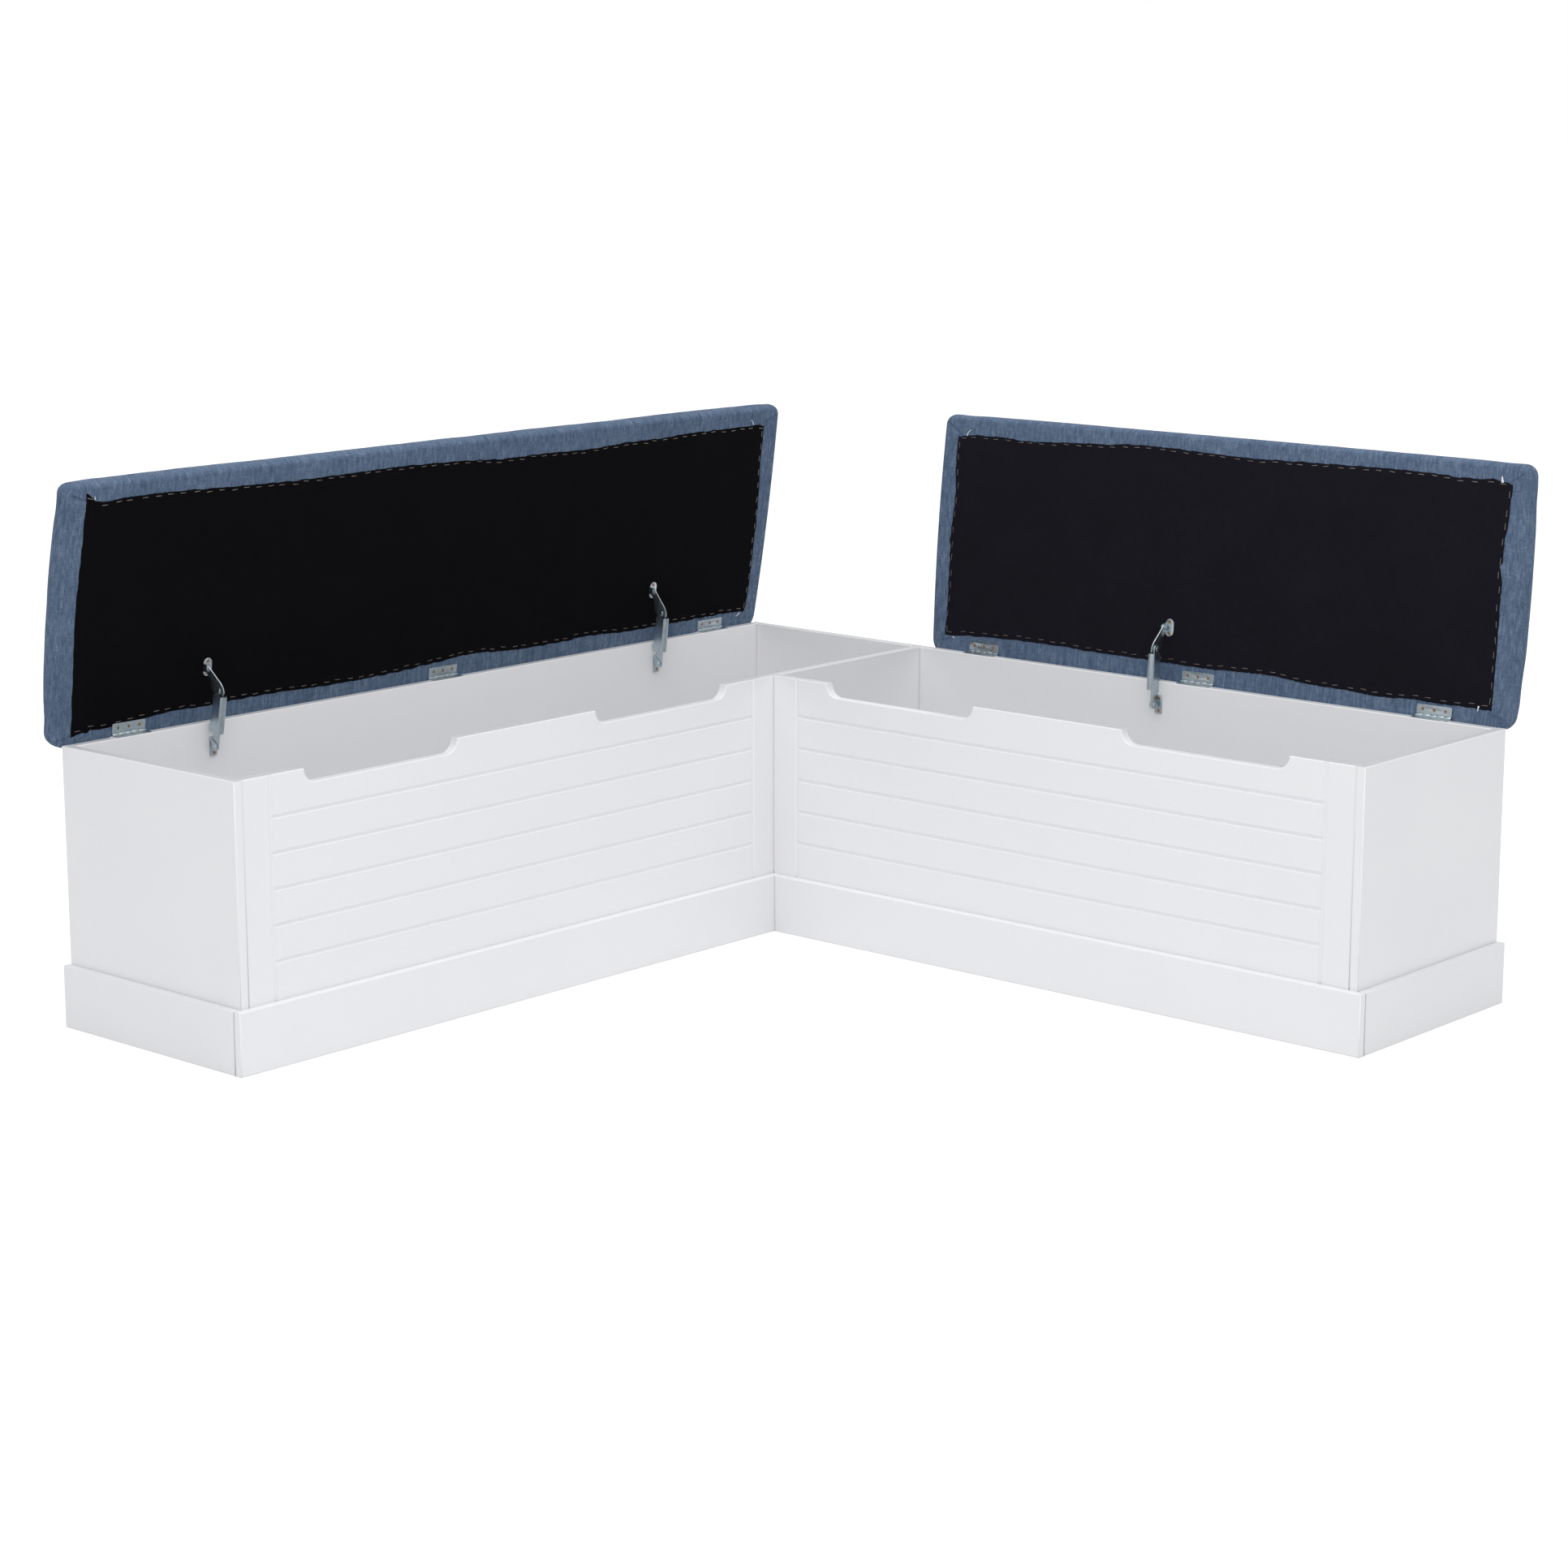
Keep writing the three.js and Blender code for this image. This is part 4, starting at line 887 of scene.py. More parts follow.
def swell_cover(piece, side):
    """The foam's push on a cover. An even copy of it is simulated as cloth with pressure inside and no
    gravity, held where the staples hold it, and the way each point goes is capped: d becomes c tanh(d / c).
    The cover is bound to the copy by a surface deform, follows it there, and keeps its own folds and
    seams."""
    even = even_copy(piece)
    start, _, _, out = lid_axes(side)
    before = vertex_places(even.data)
    height = (before / MM - start) @ out - UNDERSIDE
    steps = np.round(HELD_STEPS * (1 - smoothstep(height, *FOAM["held"]))).astype(int)
    group = even.vertex_groups.new(name="held")
    for step in range(1, HELD_STEPS + 1):
        group.add(np.flatnonzero(steps == step).tolist(), step / HELD_STEPS, "REPLACE")
    cloth = even.modifiers.new("cover", "CLOTH")
    cloth.settings.vertex_group_mass = "held"
    cloth.settings.use_pressure = True
    cloth.settings.uniform_pressure_force = FOAM["pressure"]
    cloth.settings.tension_stiffness = cloth.settings.compression_stiffness = FOAM["stiffness"]
    cloth.settings.effector_weights.gravity = 0
    cloth.point_cache.frame_end = FOAM["frames"]
    for number in range(1, FOAM["frames"] + 1):
        bpy.context.scene.frame_set(number)
    way = vertex_places(evaluated_copy(even)) - before
    even.modifiers.clear()
    bpy.context.scene.frame_set(1)
    carry = piece.modifiers.new("carry", "SURFACE_DEFORM")
    carry.target = even
    with bpy.context.temp_override(object=piece, active_object=piece):
        bpy.ops.object.surfacedeform_bind(modifier=carry.name)
    if not carry.is_bound:
        raise RuntimeError(f"{piece.name} could not be bound to its simulated copy")
    length = np.maximum(np.linalg.norm(way, axis=1, keepdims=True), 1e-9)
    capped = way / length * np.tanh(length / FOAM["cap"]) * FOAM["cap"]
    even.data.vertices.foreach_set("co", (before + capped).astype(np.float32).ravel())
    even.data.update()
    bpy.context.view_layer.update()
    swollen = vertex_places(evaluated_copy(piece))
    piece.modifiers.clear()
    piece.data.vertices.foreach_set("co", swollen.ravel())
    piece.data.update()
    bpy.data.objects.remove(even)


def add_cover(side, fabric):
    """The padded lid: its cover with the foam in it."""
    points, faces, flat, crease = cushion(side, fabric.folds)
    piece = add_piece(f"{side}_lid_upholstery", points, faces, fabric_material(fabric), f"{side}_lid",
                      flat, {"crease": crease})
    mend_mesh(piece, 1e-6)
    swell_cover(piece, side)
    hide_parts(f"{side}_lid_cover", f"{side}_lid_pad")


def hem_line(side, name, at):
    """A hem's place at a place along it, between its measured points, with a ragged ripple."""
    known = np.array(HEMS[side][name], float)
    seed = 11 + 5 * list(HEMS[side]).index(name) + (side == "right")
    ragged = 0.45 * ripple(at, 9, seed) + 0.7 * ripple(at, 38, seed + 1)
    return np.interp(at, known[:, 0], known[:, 1]) + ragged


def hem_ends(side):
    """Where a black cloth's low and high end hems start along the axis."""
    return HEMS[side]["low_end"][0][1], HEMS[side]["high_end"][0][1]


def cloth_place(side, across, up):
    """A place on a black cloth from two shares, each from 0 to 1: between its low and high end hems along the
    lid, and between its bottom and top hems up it."""
    low_y, high_y = HEMS[side]["bottom"][0][1], HEMS[side]["top"][0][1]
    rough_y = low_y + (high_y - low_y) * up
    first, last = hem_line(side, "low_end", rough_y), hem_line(side, "high_end", rough_y)
    x = first + (last - first) * across
    bottom, top = hem_line(side, "bottom", x), hem_line(side, "top", x)
    return x, bottom + (top - bottom) * up


def hem_shares(edge, count):
    """Shares from 0 to 1: the given ones near both ends, and even ones between them."""
    return np.concatenate([edge, np.linspace(edge[-1], 1 - edge[-1], count)[1:-1], 1 - edge[::-1]])


def add_cloth(side, cloth):
    """The black cloth over a lid's underside: a sheet between four ragged hems, turned under along them, and
    drawn in a little between its staples."""
    first, last = hem_ends(side)
    length = abs(last - first)
    across = hem_shares(CLOTH_EDGE / 4, round(length / 4.5))
    share_up, share_x = np.meshgrid(hem_shares(CLOTH_EDGE, 52), across, indexing="ij")
    x, s = cloth_place(side, share_x, share_up)
    from_end, from_side = np.minimum(share_x, 1 - share_x), np.minimum(share_up, 1 - share_up)
    from_hem = np.minimum(from_end * length, from_side * CLOTH_HEIGHT)
    slack = smoothstep(from_hem, 12, 60) * (0.5 + 0.5 * swell(x, s, 120, 21))
    out = CLOTH_LEVEL + 0.16 * smoothstep(from_hem, TURNED_EDGE - 1, TURNED_EDGE + 1) + 0.35 * slack
    # Painted shade along the fold of the turned edge
    crease = 0.25 * np.exp(-(((from_hem - TURNED_EDGE) / 1.6) ** 2))
    faces = grid_faces(*x.shape)[:, ::-1]
    flat = np.stack([x, s], -1).reshape(-1, 2) * MM
    piece = add_piece(f"{side}_lid_black_cloth", on_lid(side, x, s, out), faces, cloth_material(cloth, side),
                      f"{side}_lid", flat[faces], {"crease": crease})
    wall = piece.modifiers.new("cloth thickness", "SOLIDIFY")
    wall.thickness, wall.offset = cloth.thickness, -1
    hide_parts(f"{side}_lid_dust_cloth")


def staple_places(side, pitch):
    """Rows of staples a few millimetres inside the hems: middle along, middle up, and turn on the lid. The
    left lid's outer end has none."""
    source = np.random.default_rng(LIDS[side]["staple_seed"])
    first, last = hem_ends(side)
    rows = []
    for name in ("bottom", "top"):
        count = int((last - first - 2 * ROW_MARGIN) / pitch)
        x = np.linspace(first + ROW_MARGIN, last - ROW_MARGIN, count) + source.uniform(-3, 3, count)
        s = hem_line(side, name, x) + STAPLE_ROWS[name] + source.uniform(-1, 1.2, count)
        slope = (hem_line(side, name, x + 8) - hem_line(side, name, x - 8)) / 16
        rows.append(np.stack([x, s, np.arctan(slope) * 0.5 + source.normal(0, 0.05, count)], 1))
    for name in ("low_end", "high_end"):
        if (side, name) == ("left", "high_end"):
            continue
        count = round((END_ROWS[1] - END_ROWS[0]) / pitch) + 1
        s = np.linspace(*END_ROWS, count) + source.uniform(-3, 3, count)
        x = hem_line(side, name, s) + STAPLE_ROWS[name] + source.uniform(-1, 1, count)
        rows.append(np.stack([x, s, np.pi / 2 + source.normal(0, 0.06, count)], 1))
    places = np.concatenate(rows)
    reach, height = HINGE_CLEARANCE
    clear_of_hinges = np.all(np.abs(places[:, :1] - hinge_middles(side)) > reach, axis=1)
    return places[clear_of_hinges | (places[:, 1] > height)]


def staple_shape(length):
    """A staple's crown: a flat wire carried along a path that goes straight and turns down at both ends.
    Columns go round the wire, rows along it; x along it, y across, z away from the lid."""
    half = length / 2
    reach, level = [half, half, half - 0.45], [-0.1, 0.28, 0.5]
    path = np.stack([np.concatenate([np.negative(reach), reach[::-1]]), level + level[::-1]], 1)
    section = np.array([[0.55, 0], [0.4, 0.15], [-0.4, 0.15], [-0.55, 0], [-0.4, -0.15], [0.4, -0.15]])
    tangent = np.gradient(path, axis=0)
    tangent /= np.linalg.norm(tangent, axis=1, keepdims=True)
    x = path[:, :1] - tangent[:, 1:] * section[:, 1]
    z = path[:, 1:] + tangent[:, :1] * section[:, 1]
    points = np.stack(np.broadcast_arrays(x, section[:, 0], z), -1)
    return points.reshape(-1, 3), grid_faces(*x.shape, closed=True)


def add_staples(side, fixing, steel):
    """All the staples of one lid as one mesh: the same crown turned and moved to each place."""
    middle_x, middle_s, turn = (column[:, None] for column in staple_places(side, fixing.pitch / MM).T)
    shape, faces = staple_shape(fixing.length / MM)
    x = middle_x + shape[:, 0] * np.cos(turn) - shape[:, 1] * np.sin(turn)
    s = middle_s + shape[:, 0] * np.sin(turn) + shape[:, 1] * np.cos(turn)
    points, quads = repeated(on_lid(side, x, s, STAPLE_LEVEL - shape[:, 2]), faces)
    material = metal_material(steel, "staple")
    add_piece(f"{side}_lid_staples", points, quads, material, f"{side}_lid", ends=True)


def add_cord_ends(side):
    """White cord ends at the cloth's corners: a flattened tube that bends over and tapers to a point. Its
    middle line leaves straight and turns by a share of a quarter circle; its half width falls as 1 - t^3."""
    t, around = np.linspace(0, 1, 14)[:, None], full_turn(8)
    tubes = []
    for (x0, s0), (way_x, way_s), length, bend, half in CORD_ENDS[side]:
        angle = math.atan2(way_s, way_x) + bend * 0.9 * t**1.5
        step = length / (len(t) - 1)
        x = x0 + np.concatenate([[[0]], np.cumsum(np.cos(angle[1:]) * step, 0)])
        s = s0 + np.concatenate([[[0]], np.cumsum(np.sin(angle[1:]) * step, 0)])
        radius = half * (1 - 0.92 * t**3) * (1 + 0.15 * np.sin(9 * t))
        out = 0.7 - 0.4 * np.sin(np.pi * t) - 0.5 * np.sin(around) * (1 - 0.8 * t**3)
        tube_x = x - np.sin(angle) * radius * np.cos(around)
        tube_s = s + np.cos(angle) * radius * np.cos(around)
        tubes.append(on_lid(side, tube_x, tube_s, out).reshape(-1, 3))
    points, quads = repeated(np.stack(tubes), grid_faces(len(t), len(around), closed=True))
    material = mottled_material("white cord")
    add_piece(f"{side}_lid_cord_ends", points, quads, material, f"{side}_lid", ends=True)


# Fittings


def hinge_middles(side):
    """Middles of a lid's three hinges along its axis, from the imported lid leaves."""
    boxes = np.array([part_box(f"{side}_hinge_{index}_lid_leaf") for index in HINGES])
    return (boxes.mean(axis=1) / MM - LIDS[side]["start"]) @ LIDS[side]["along"]


def disc(rings, count, radius):
    """x and y of rings of points about a middle; each ring is a share of the radius."""
    turn = full_turn(count)
    return rings * np.cos(turn) * radius, rings * np.sin(turn) * radius


def screw_shape():
    """A countersunk head: rings about its middle, domed by r^2, with a cross cut where x or y is small; z
    away from the plate. Returns points, faces and how deep in the recess each point is."""
    ring = np.array([0.02, 0.16, 0.3, 0.42, 0.55, 0.62, 0.9, 1.0, 1.0])[:, None]
    level = np.array([1, 1, 1, 1, 1, 1, 1, 0.55, -0.4])[:, None] * 0.42
    x, y = disc(ring, 24, SCREW_RADIUS)
    arm, reach = np.minimum(np.abs(x), np.abs(y)), np.hypot(x, y) / SCREW_RADIUS
    recess = (1 - smoothstep(arm, 0.12, 0.5)) * (1 - smoothstep(reach, 0.5, 0.62))
    z = level * (1 - 0.15 * ring**2) - 0.6 * recess
    return np.stack([x, y, z], -1).reshape(-1, 3), grid_faces(*x.shape, closed=True), recess.ravel()


def rivet_shape():
    """A rivet's dome: a cap that falls as the square root of 1 - r^2 to a short upright rim."""
    ring = np.array([0.02, 0.3, 0.55, 0.75, 0.9, 1.0, 1.0])[:, None]
    x, y = disc(ring, 18, RIVET_RADIUS)
    rise = RIVET_HEIGHT * (0.3 + 0.7 * np.sqrt(np.maximum(1 - ring**2, 0)))
    rise[-1] = -0.3
    return np.stack(np.broadcast_arrays(x, y, rise), -1).reshape(-1, 3), grid_faces(*x.shape, closed=True)


def stood_up(shape, places, ways, spins):
    """Copies of a shape with its z turned to each way: two directions square to it carry x and y, spun about
    it. The shape is in millimetres, the places in metres."""
    way = ways / np.linalg.norm(ways, axis=1, keepdims=True)
    first = np.cross(np.where(np.abs(way[:, 2:]) > 0.8, [[1.0, 0, 0]], [UPRIGHT]), way)
    first /= np.linalg.norm(first, axis=1, keepdims=True)
    second, spin = np.cross(way, first), spins[:, None]
    across = first * np.cos(spin) + second * np.sin(spin)
    upward = second * np.cos(spin) - first * np.sin(spin)
    axes = np.stack([across, upward, way], 1)
    return places[:, None, :] + shape[None] @ axes * MM


def add_heads(name, shape, faces, places, ways, material, body, values=None):
    """Small heads of one kind as one mesh, each turned at random about its own middle."""
    spins = np.random.default_rng(len(name)).uniform(0, np.pi, len(places))
    points, quads = repeated(stood_up(shape, np.array(places), np.array(ways, float), spins), faces)
    stored = {key: np.tile(value, len(places)) for key, value in (values or {}).items()}
    add_piece(name, points, quads, material, body, values=stored, ends=True)


def body_of(name, part):
    """The body of a stay's cam or sleeve."""
    return name.replace("_stay", f"_{part}")


def stay_pivots(name):
    """A stay's lid pivot and knee about its hinge axis, to the front and up. The knee is where circles of the
    two arms' lengths meet, in front of the line between the lid pivot and the wall pivot."""
    side, _, reach = STAYS[name]
    angle, below = math.radians(LIDS[side]["angle"]), PIVOT_BELOW_LID
    turned = np.array([[math.cos(angle), math.sin(angle)], [math.sin(angle), -math.cos(angle)]])
    lid = turned @ [reach, below]
    line = lid - WALL_PIVOT
    span = np.linalg.norm(line)
    line /= span
    along = (LOWER_ARM**2 - CAM_ARM**2 + span**2) / (2 * span)
    aside = math.sqrt(LOWER_ARM**2 - along**2)
    return lid, WALL_PIVOT + line * along + np.array([line[1], -line[0]]) * aside


def beside_arm(name, *parts):
    """Points in metres from places about a stay's lower arm: to the side, along it from its wall pivot, and
    square to it, to the front."""
    side, place, _ = STAYS[name]
    line = stay_pivots(name)[1] - WALL_PIVOT
    line /= np.linalg.norm(line)
    sideways, along, forward = np.broadcast_arrays(*parts)
    spot = WALL_PIVOT + along[..., None] * line + forward[..., None] * np.array([line[1], -line[0]])
    return beside_axis(side, place + sideways, spot[..., 0], spot[..., 1])


def closed_curve(points, steps):
    """A smooth closed curve through points: between two, the cubic whose slopes join their neighbours."""
    points = np.array(points, float)
    before, ahead, beyond = (np.roll(points, shift, 0)[:, None] for shift in (1, -1, -2))
    here, t = points[:, None], np.linspace(0, 1, steps, endpoint=False)[None, :, None]
    cubic = (2 * here + (ahead - before) * t + (2 * before - 5 * here + 4 * ahead - beyond) * t**2
             + (3 * here - before - 3 * ahead + beyond) * t**3) / 2
    return cubic.reshape(-1, 2)


def add_cam_arms(steel):
    """The stays' cam arms: a smooth outline carried through the sheet's thickness with rounded edges, and the
    knee rivet's shank, a plain barrel."""
    outline = closed_curve(CAM_OUTLINE, 5)
    slope = np.roll(outline, -1, 0) - np.roll(outline, 1, 0)
    inward = np.stack([slope[:, 1], -slope[:, 0]], 1) / np.linalg.norm(slope, axis=1, keepdims=True)
    inset = np.array([0, 0.35, 0.1, 0, 0, 0.1, 0.35, 0])
    levels = np.array([-0.1, -0.1, 0.0, 0.25, 1.55, 1.8, 1.9, 1.9])
    rings = outline + inward * inset[:, None, None]
    rings[0] = rings[-1] = CAM_MIDDLE + (outline - CAM_MIDDLE) * 0.02
    x, y = disc(1, 24, 2.2)
    barrel = np.stack([x, y - CAM_ARM], 1)[None].repeat(2, 0)
    faces = [grid_faces(*rings.shape[:2], closed=True), grid_faces(2, 24, closed=True) + rings[..., 0].size]
    for name, (side, place, _) in STAYS.items():
        end, knee = stay_pivots(name)
        away = (end - knee) / np.linalg.norm(end - knee)
        front = np.array([away[1], -away[0]])
        parts = []
        for shape, level in ((rings, levels), (barrel, np.array([-3.0, 0.0]))):
            spot = end + shape[..., :1] * front + shape[..., 1:] * away
            points = beside_axis(side, place + level[:, None], spot[..., 0], spot[..., 1])
            parts.append(points.reshape(-1, 3))
        piece = add_piece(f"{name}_cam_plate", np.concatenate(parts), np.concatenate(faces),
                          metal_material(steel, "zinc"), body_of(name, "cam"), ends=True)
        piece.data.set_sharp_from_angle(angle=math.radians(SHARP_ANGLE))
        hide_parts(f"{name}_cam_arm")


def sleeve_section(back):
    """A sleeve's section with its cheeks that deep, to the side and to the front: up one cheek, round the
    tube, down the other, and back along the inside."""
    inner, outer, radius = SLEEVE["inner"], SLEEVE["inner"] + SLEEVE["sheet"], SLEEVE["radius"]
    bore = radius - SLEEVE["sheet"]
    start, inside = math.acos(outer / radius), math.acos(inner / bore)
    turn = np.linspace(-start, math.pi + start, 29)
    unturn = np.linspace(math.pi + inside, -inside, 29)
    tube = np.stack([radius * np.cos(turn), SLEEVE["offset"] + radius * np.sin(turn)], 1)
    hollow = np.stack([bore * np.cos(unturn), SLEEVE["offset"] + bore * np.sin(unturn)], 1)
    far_cheek = [(-outer, -back), (-inner, -back)]
    return np.concatenate([[(outer, -back)], tube, far_cheek, hollow, [(inner, -back)]])


def add_sleeves(steel):
    """The stays' sleeves: the section carried along the arm, with cheeks that grow deeper and longer towards
    the wall and end in a round corner."""
    length, corner = 60, SLEEVE["corner"]
    share = np.concatenate([np.array([0, 0.4, 1.2, 2.4, 4, 6]) / length, np.linspace(0.15, 0.993, 12), [1]])
    before_corner = np.maximum(corner - length * share, 0)
    rounding = corner - np.sqrt(np.maximum(corner**2 - before_corner**2, 0))
    depth = SLEEVE["back"] + (SLEEVE["flare"] - SLEEVE["back"]) * (1 - share) ** 1.2 - rounding
    sections = np.stack([sleeve_section(back) for back in depth])
    behind = np.clip(-sections[..., 1] / SLEEVE["flare"], 0, 1)
    start = SLEEVE["from"] + (SLEEVE["back_from"] - SLEEVE["from"]) * behind
    along = start + (SLEEVE["to"] - start) * share[:, None]
    for name in STAYS:
        points = beside_arm(name, sections[..., 0], along, sections[..., 1])
        piece = add_piece(f"{name}_sleeve_sheet", points, grid_faces(*along.shape, closed=True),
                          metal_material(steel, "zinc"), body_of(name, "sleeve"), ends=True)
        piece.data.set_sharp_from_angle(angle=math.radians(35))
        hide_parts(f"{name}_sleeve")


def move_spring(piece, name):
    """Moves a stay's finished spring to the middle of the sleeve's tube."""
    way = beside_arm(name, 0, 0, SLEEVE["offset"] - SPRING_OFFSET) - beside_arm(name, 0, 0, 0)
    piece.data.transform(Matrix.Translation(way))


def add_board_lines(paint):
    """Lines of paint on the boards' joints and outer corners: a flat oval carried up each joint, grey as
    painted shade, and a thin round carried up each corner, light as a painted highlight."""
    x, y = disc(1, 12, 1.0)
    flat, (inside, radius) = JOINT_FLATNESS, CORNER_LINE
    joints = [
        (at_x + way_x * flat * y + way_y * x, at_y + way_y * flat * y - way_x * x, levels)
        for (at_x, at_y), (way_x, way_y), levels in JOINTS
    ]
    corners = [
        (at_x + inside + radius * x, at_y + inside + radius * y, levels) for (at_x, at_y), levels in ARRISES
    ]
    for part, rods in (("joint", joints), ("corner", corners)):
        rings = [[np.column_stack([*rod, np.full(12, level)]) for level in levels] for *rod, levels in rods]
        points = np.array(rings).reshape(len(rods), -1, 3) * MM
        points, quads = repeated(points, grid_faces(2, 12, closed=True))
        material = paint_material(paint, part)
        add_piece(f"board_{part}s", points, quads, material, "case", ends=True)


def add_screws(steel):
    """Screws of the hinges and stays: three in each hinge leaf, two in each bracket."""
    shape, faces, recess = screw_shape()
    # The recess value paints shade into the screws' cross recesses
    material, stored = metal_material(steel, "brass"), {"recess": recess}
    case_places, case_ways = [], []
    for side in LIDS:
        out = lid_axes(side)[3]
        places = []
        for middle in hinge_middles(side):
            for step in HINGE_SCREW_STEPS:
                places.append(on_lid(side, middle + step, HINGE_SCREW_ROW, HINGE_SCREW_LEVEL))
                case_places.append(beside_axis(side, middle + step, HINGE_SCREW_ROW, -HINGE_SCREW_LEVEL))
                case_ways.append(UPRIGHT)
        for stay_side, place, reach in STAYS.values():
            if stay_side == side:
                aside, steps = LID_BRACKET_SCREWS
                places += [on_lid(side, place + aside, reach + step, -0.3) for step in steps]
                aside, forward, rises = WALL_BRACKET_SCREWS
                case_places += [beside_axis(side, place + aside, forward, rise) for rise in rises]
                case_ways += [LIDS[side]["front"]] * len(rises)
        ways = [-out] * len(places)
        add_heads(f"{side}_lid_screws", shape, faces, places, ways, material, f"{side}_lid", stored)
    add_heads("case_screws", shape, faces, case_places, case_ways, material, "case", stored)


def add_rivets(steel):
    """Domed heads on both ends of each stay's three rivets."""
    shape, faces = rivet_shape()
    material = metal_material(steel, "zinc")
    for name, (side, place, _) in STAYS.items():
        both = [LIDS[side]["along"], -LIDS[side]["along"]]
        lid_pivot, knee = stay_pivots(name)
        pivots = {
            "wall": (WALL_PIVOT, "case"),
            "knee": (knee, body_of(name, "cam")),
            "lid": (lid_pivot, f"{side}_lid"),
        }
        for pivot, (spot, body) in pivots.items():
            places = [beside_axis(side, place + x, *spot) for x in RIVET_SIDES[pivot]]
            add_heads(f"{name}_{pivot}_rivet", shape, faces, places, both, material, body)


def add_marks(steel):
    """The rows of small raised marks along each sleeve's tube, where the sheet is locked."""
    t, around = np.linspace(-1, 1, 9)[:, None], full_turn(8)
    bulge = np.sqrt(np.maximum(1 - t**2, 0.0004))
    bead = np.broadcast_arrays(0.42 * bulge * np.cos(around), 1.25 * t, 0.22 * bulge * np.sin(around))
    count, first, pitch = MARKS
    for name, (side, _, _) in STAYS.items():
        source = np.random.default_rng(31 + len(name))
        points, ways = [], []
        for degrees in LIDS[side]["mark_lines"]:
            sideways, forward = math.sin(math.radians(degrees)), math.cos(math.radians(degrees))
            along = first + np.arange(count) * pitch + source.uniform(-0.6, 0.6, count)
            radius = SLEEVE["radius"]
            points.append(beside_arm(name, radius * sideways, along, SLEEVE["offset"] + radius * forward))
            way = beside_arm(name, sideways, 0, forward) - beside_arm(name, 0, 0, 0)
            ways.append(np.tile(way, (count, 1)))
        points, ways = np.concatenate(points), np.concatenate(ways)
        copies = stood_up(np.stack(bead, -1).reshape(-1, 3), points, ways, np.zeros(len(points)))
        points, quads = repeated(copies, grid_faces(len(t), len(around), closed=True))
        body = body_of(name, "sleeve")
        add_piece(f"{name}_sleeve_marks", points, quads, metal_material(steel, "zinc"), body,
                  ends=True)


# Stage


def aim(thing, place, target):
    """Puts a lamp or camera at a place and turns it towards a target."""
    thing.location = place
    thing.rotation_euler = (Vector(target) - Vector(place)).to_track_quat("-Z", "Y").to_euler()


def add_lamp(name, place, target, size, energy):
    """A soft square lamp."""
    lamp = bpy.data.lights.new(name, "AREA")
    lamp.shape, lamp.size, lamp.energy = "SQUARE", size, energy
    aim(new_object(name, lamp), place, target)


def floor_material(stage):
    """A pale floor that shows the object's shadow and reads as white where it is lit."""
    material = bpy.data.materials.new("pale floor")
    material.use_nodes = True
    tree = material.node_tree
    shader = tree.nodes["Principled BSDF"]
    cloud = noise(add_node(tree, "ShaderNodeTexCoord").outputs["Object"], 1.5)
    colour = blended(ranged(cloud, 0.3, 0.7, 0.0, 0.03), opaque(stage.floor), (0.75, 0.76, 0.8, 1))
    set_inputs(shader, {"Base Color": colour, "Roughness": 0.9, "Specular IOR Level": 0.1})
    rays = add_node(tree, "ShaderNodeLightPath").outputs
    strength = times(maths("MAXIMUM", rays["Is Camera Ray"], rays["Is Glossy Ray"]), stage.floor_glow)
    glow = add_node(tree, "ShaderNodeEmission", {"Color": (1, 1, 1, 1), "Strength": strength})
    both = add_node(tree, "ShaderNodeAddShader", {0: shader.outputs[0], 1: glow.outputs[0]})
    set_inputs(tree.nodes["Material Output"], {"Surface": both.outputs[0]})
    return material


def light_world(stage):
    """An even studio sky that the camera and clear things see as white."""
    world = bpy.data.worlds.new("studio")
    bpy.context.scene.world = world
    world.use_nodes = True
    tree = world.node_tree
    tree.nodes.clear()
    rays = add_node(tree, "ShaderNodeLightPath").outputs
    seen = maths("MAXIMUM", rays["Is Camera Ray"], rays["Is Transmission Ray"])
    sky, plain = (
        add_node(tree, "ShaderNodeBackground", {"Color": colour, "Strength": strength}).outputs[0]
        for colour, strength in ((opaque(stage.sky), stage.sky_strength), ((1, 1, 1, 1), 1.0))
    )
    mixed = add_node(tree, "ShaderNodeMixShader", {0: seen, 1: sky, 2: plain})
    add_node(tree, "ShaderNodeOutputWorld", {"Surface": mixed.outputs[0]})


# Settings


def colour(name, description, default):
    """A colour setting."""
    return bpy.props.FloatVectorProperty(
        name=name, description=description, default=default, subtype="COLOR", min=0, max=1, size=3
    )


def number(name, description, default, **kind):
    """A number setting."""
    return bpy.props.FloatProperty(name=name, description=description, default=default, **kind)


class BENCH_PG_paint(bpy.types.PropertyGroup):
    face: colour("Face colour", "Paint on the boards' faces", (0.87, 0.87, 0.883))
    # Painted shade on the boards' upper edges, where the lids shade them
    edge: colour("Edge colour", "Paint on the boards' upper edges", (0.69, 0.69, 0.70))
    # Painted shade in the joints between the boards
    joint: colour("Joint shade colour", "Paint in the joints between boards", (0.74, 0.74, 0.75))
    # A painted highlight on the boards' outer corners
    corner: colour("Corner highlight colour", "Paint on the boards' outer corners", (0.95, 0.95, 0.95))
    roughness: number("Roughness", "Roughness of the lacquer", 0.42, min=0, max=1, subtype="FACTOR")


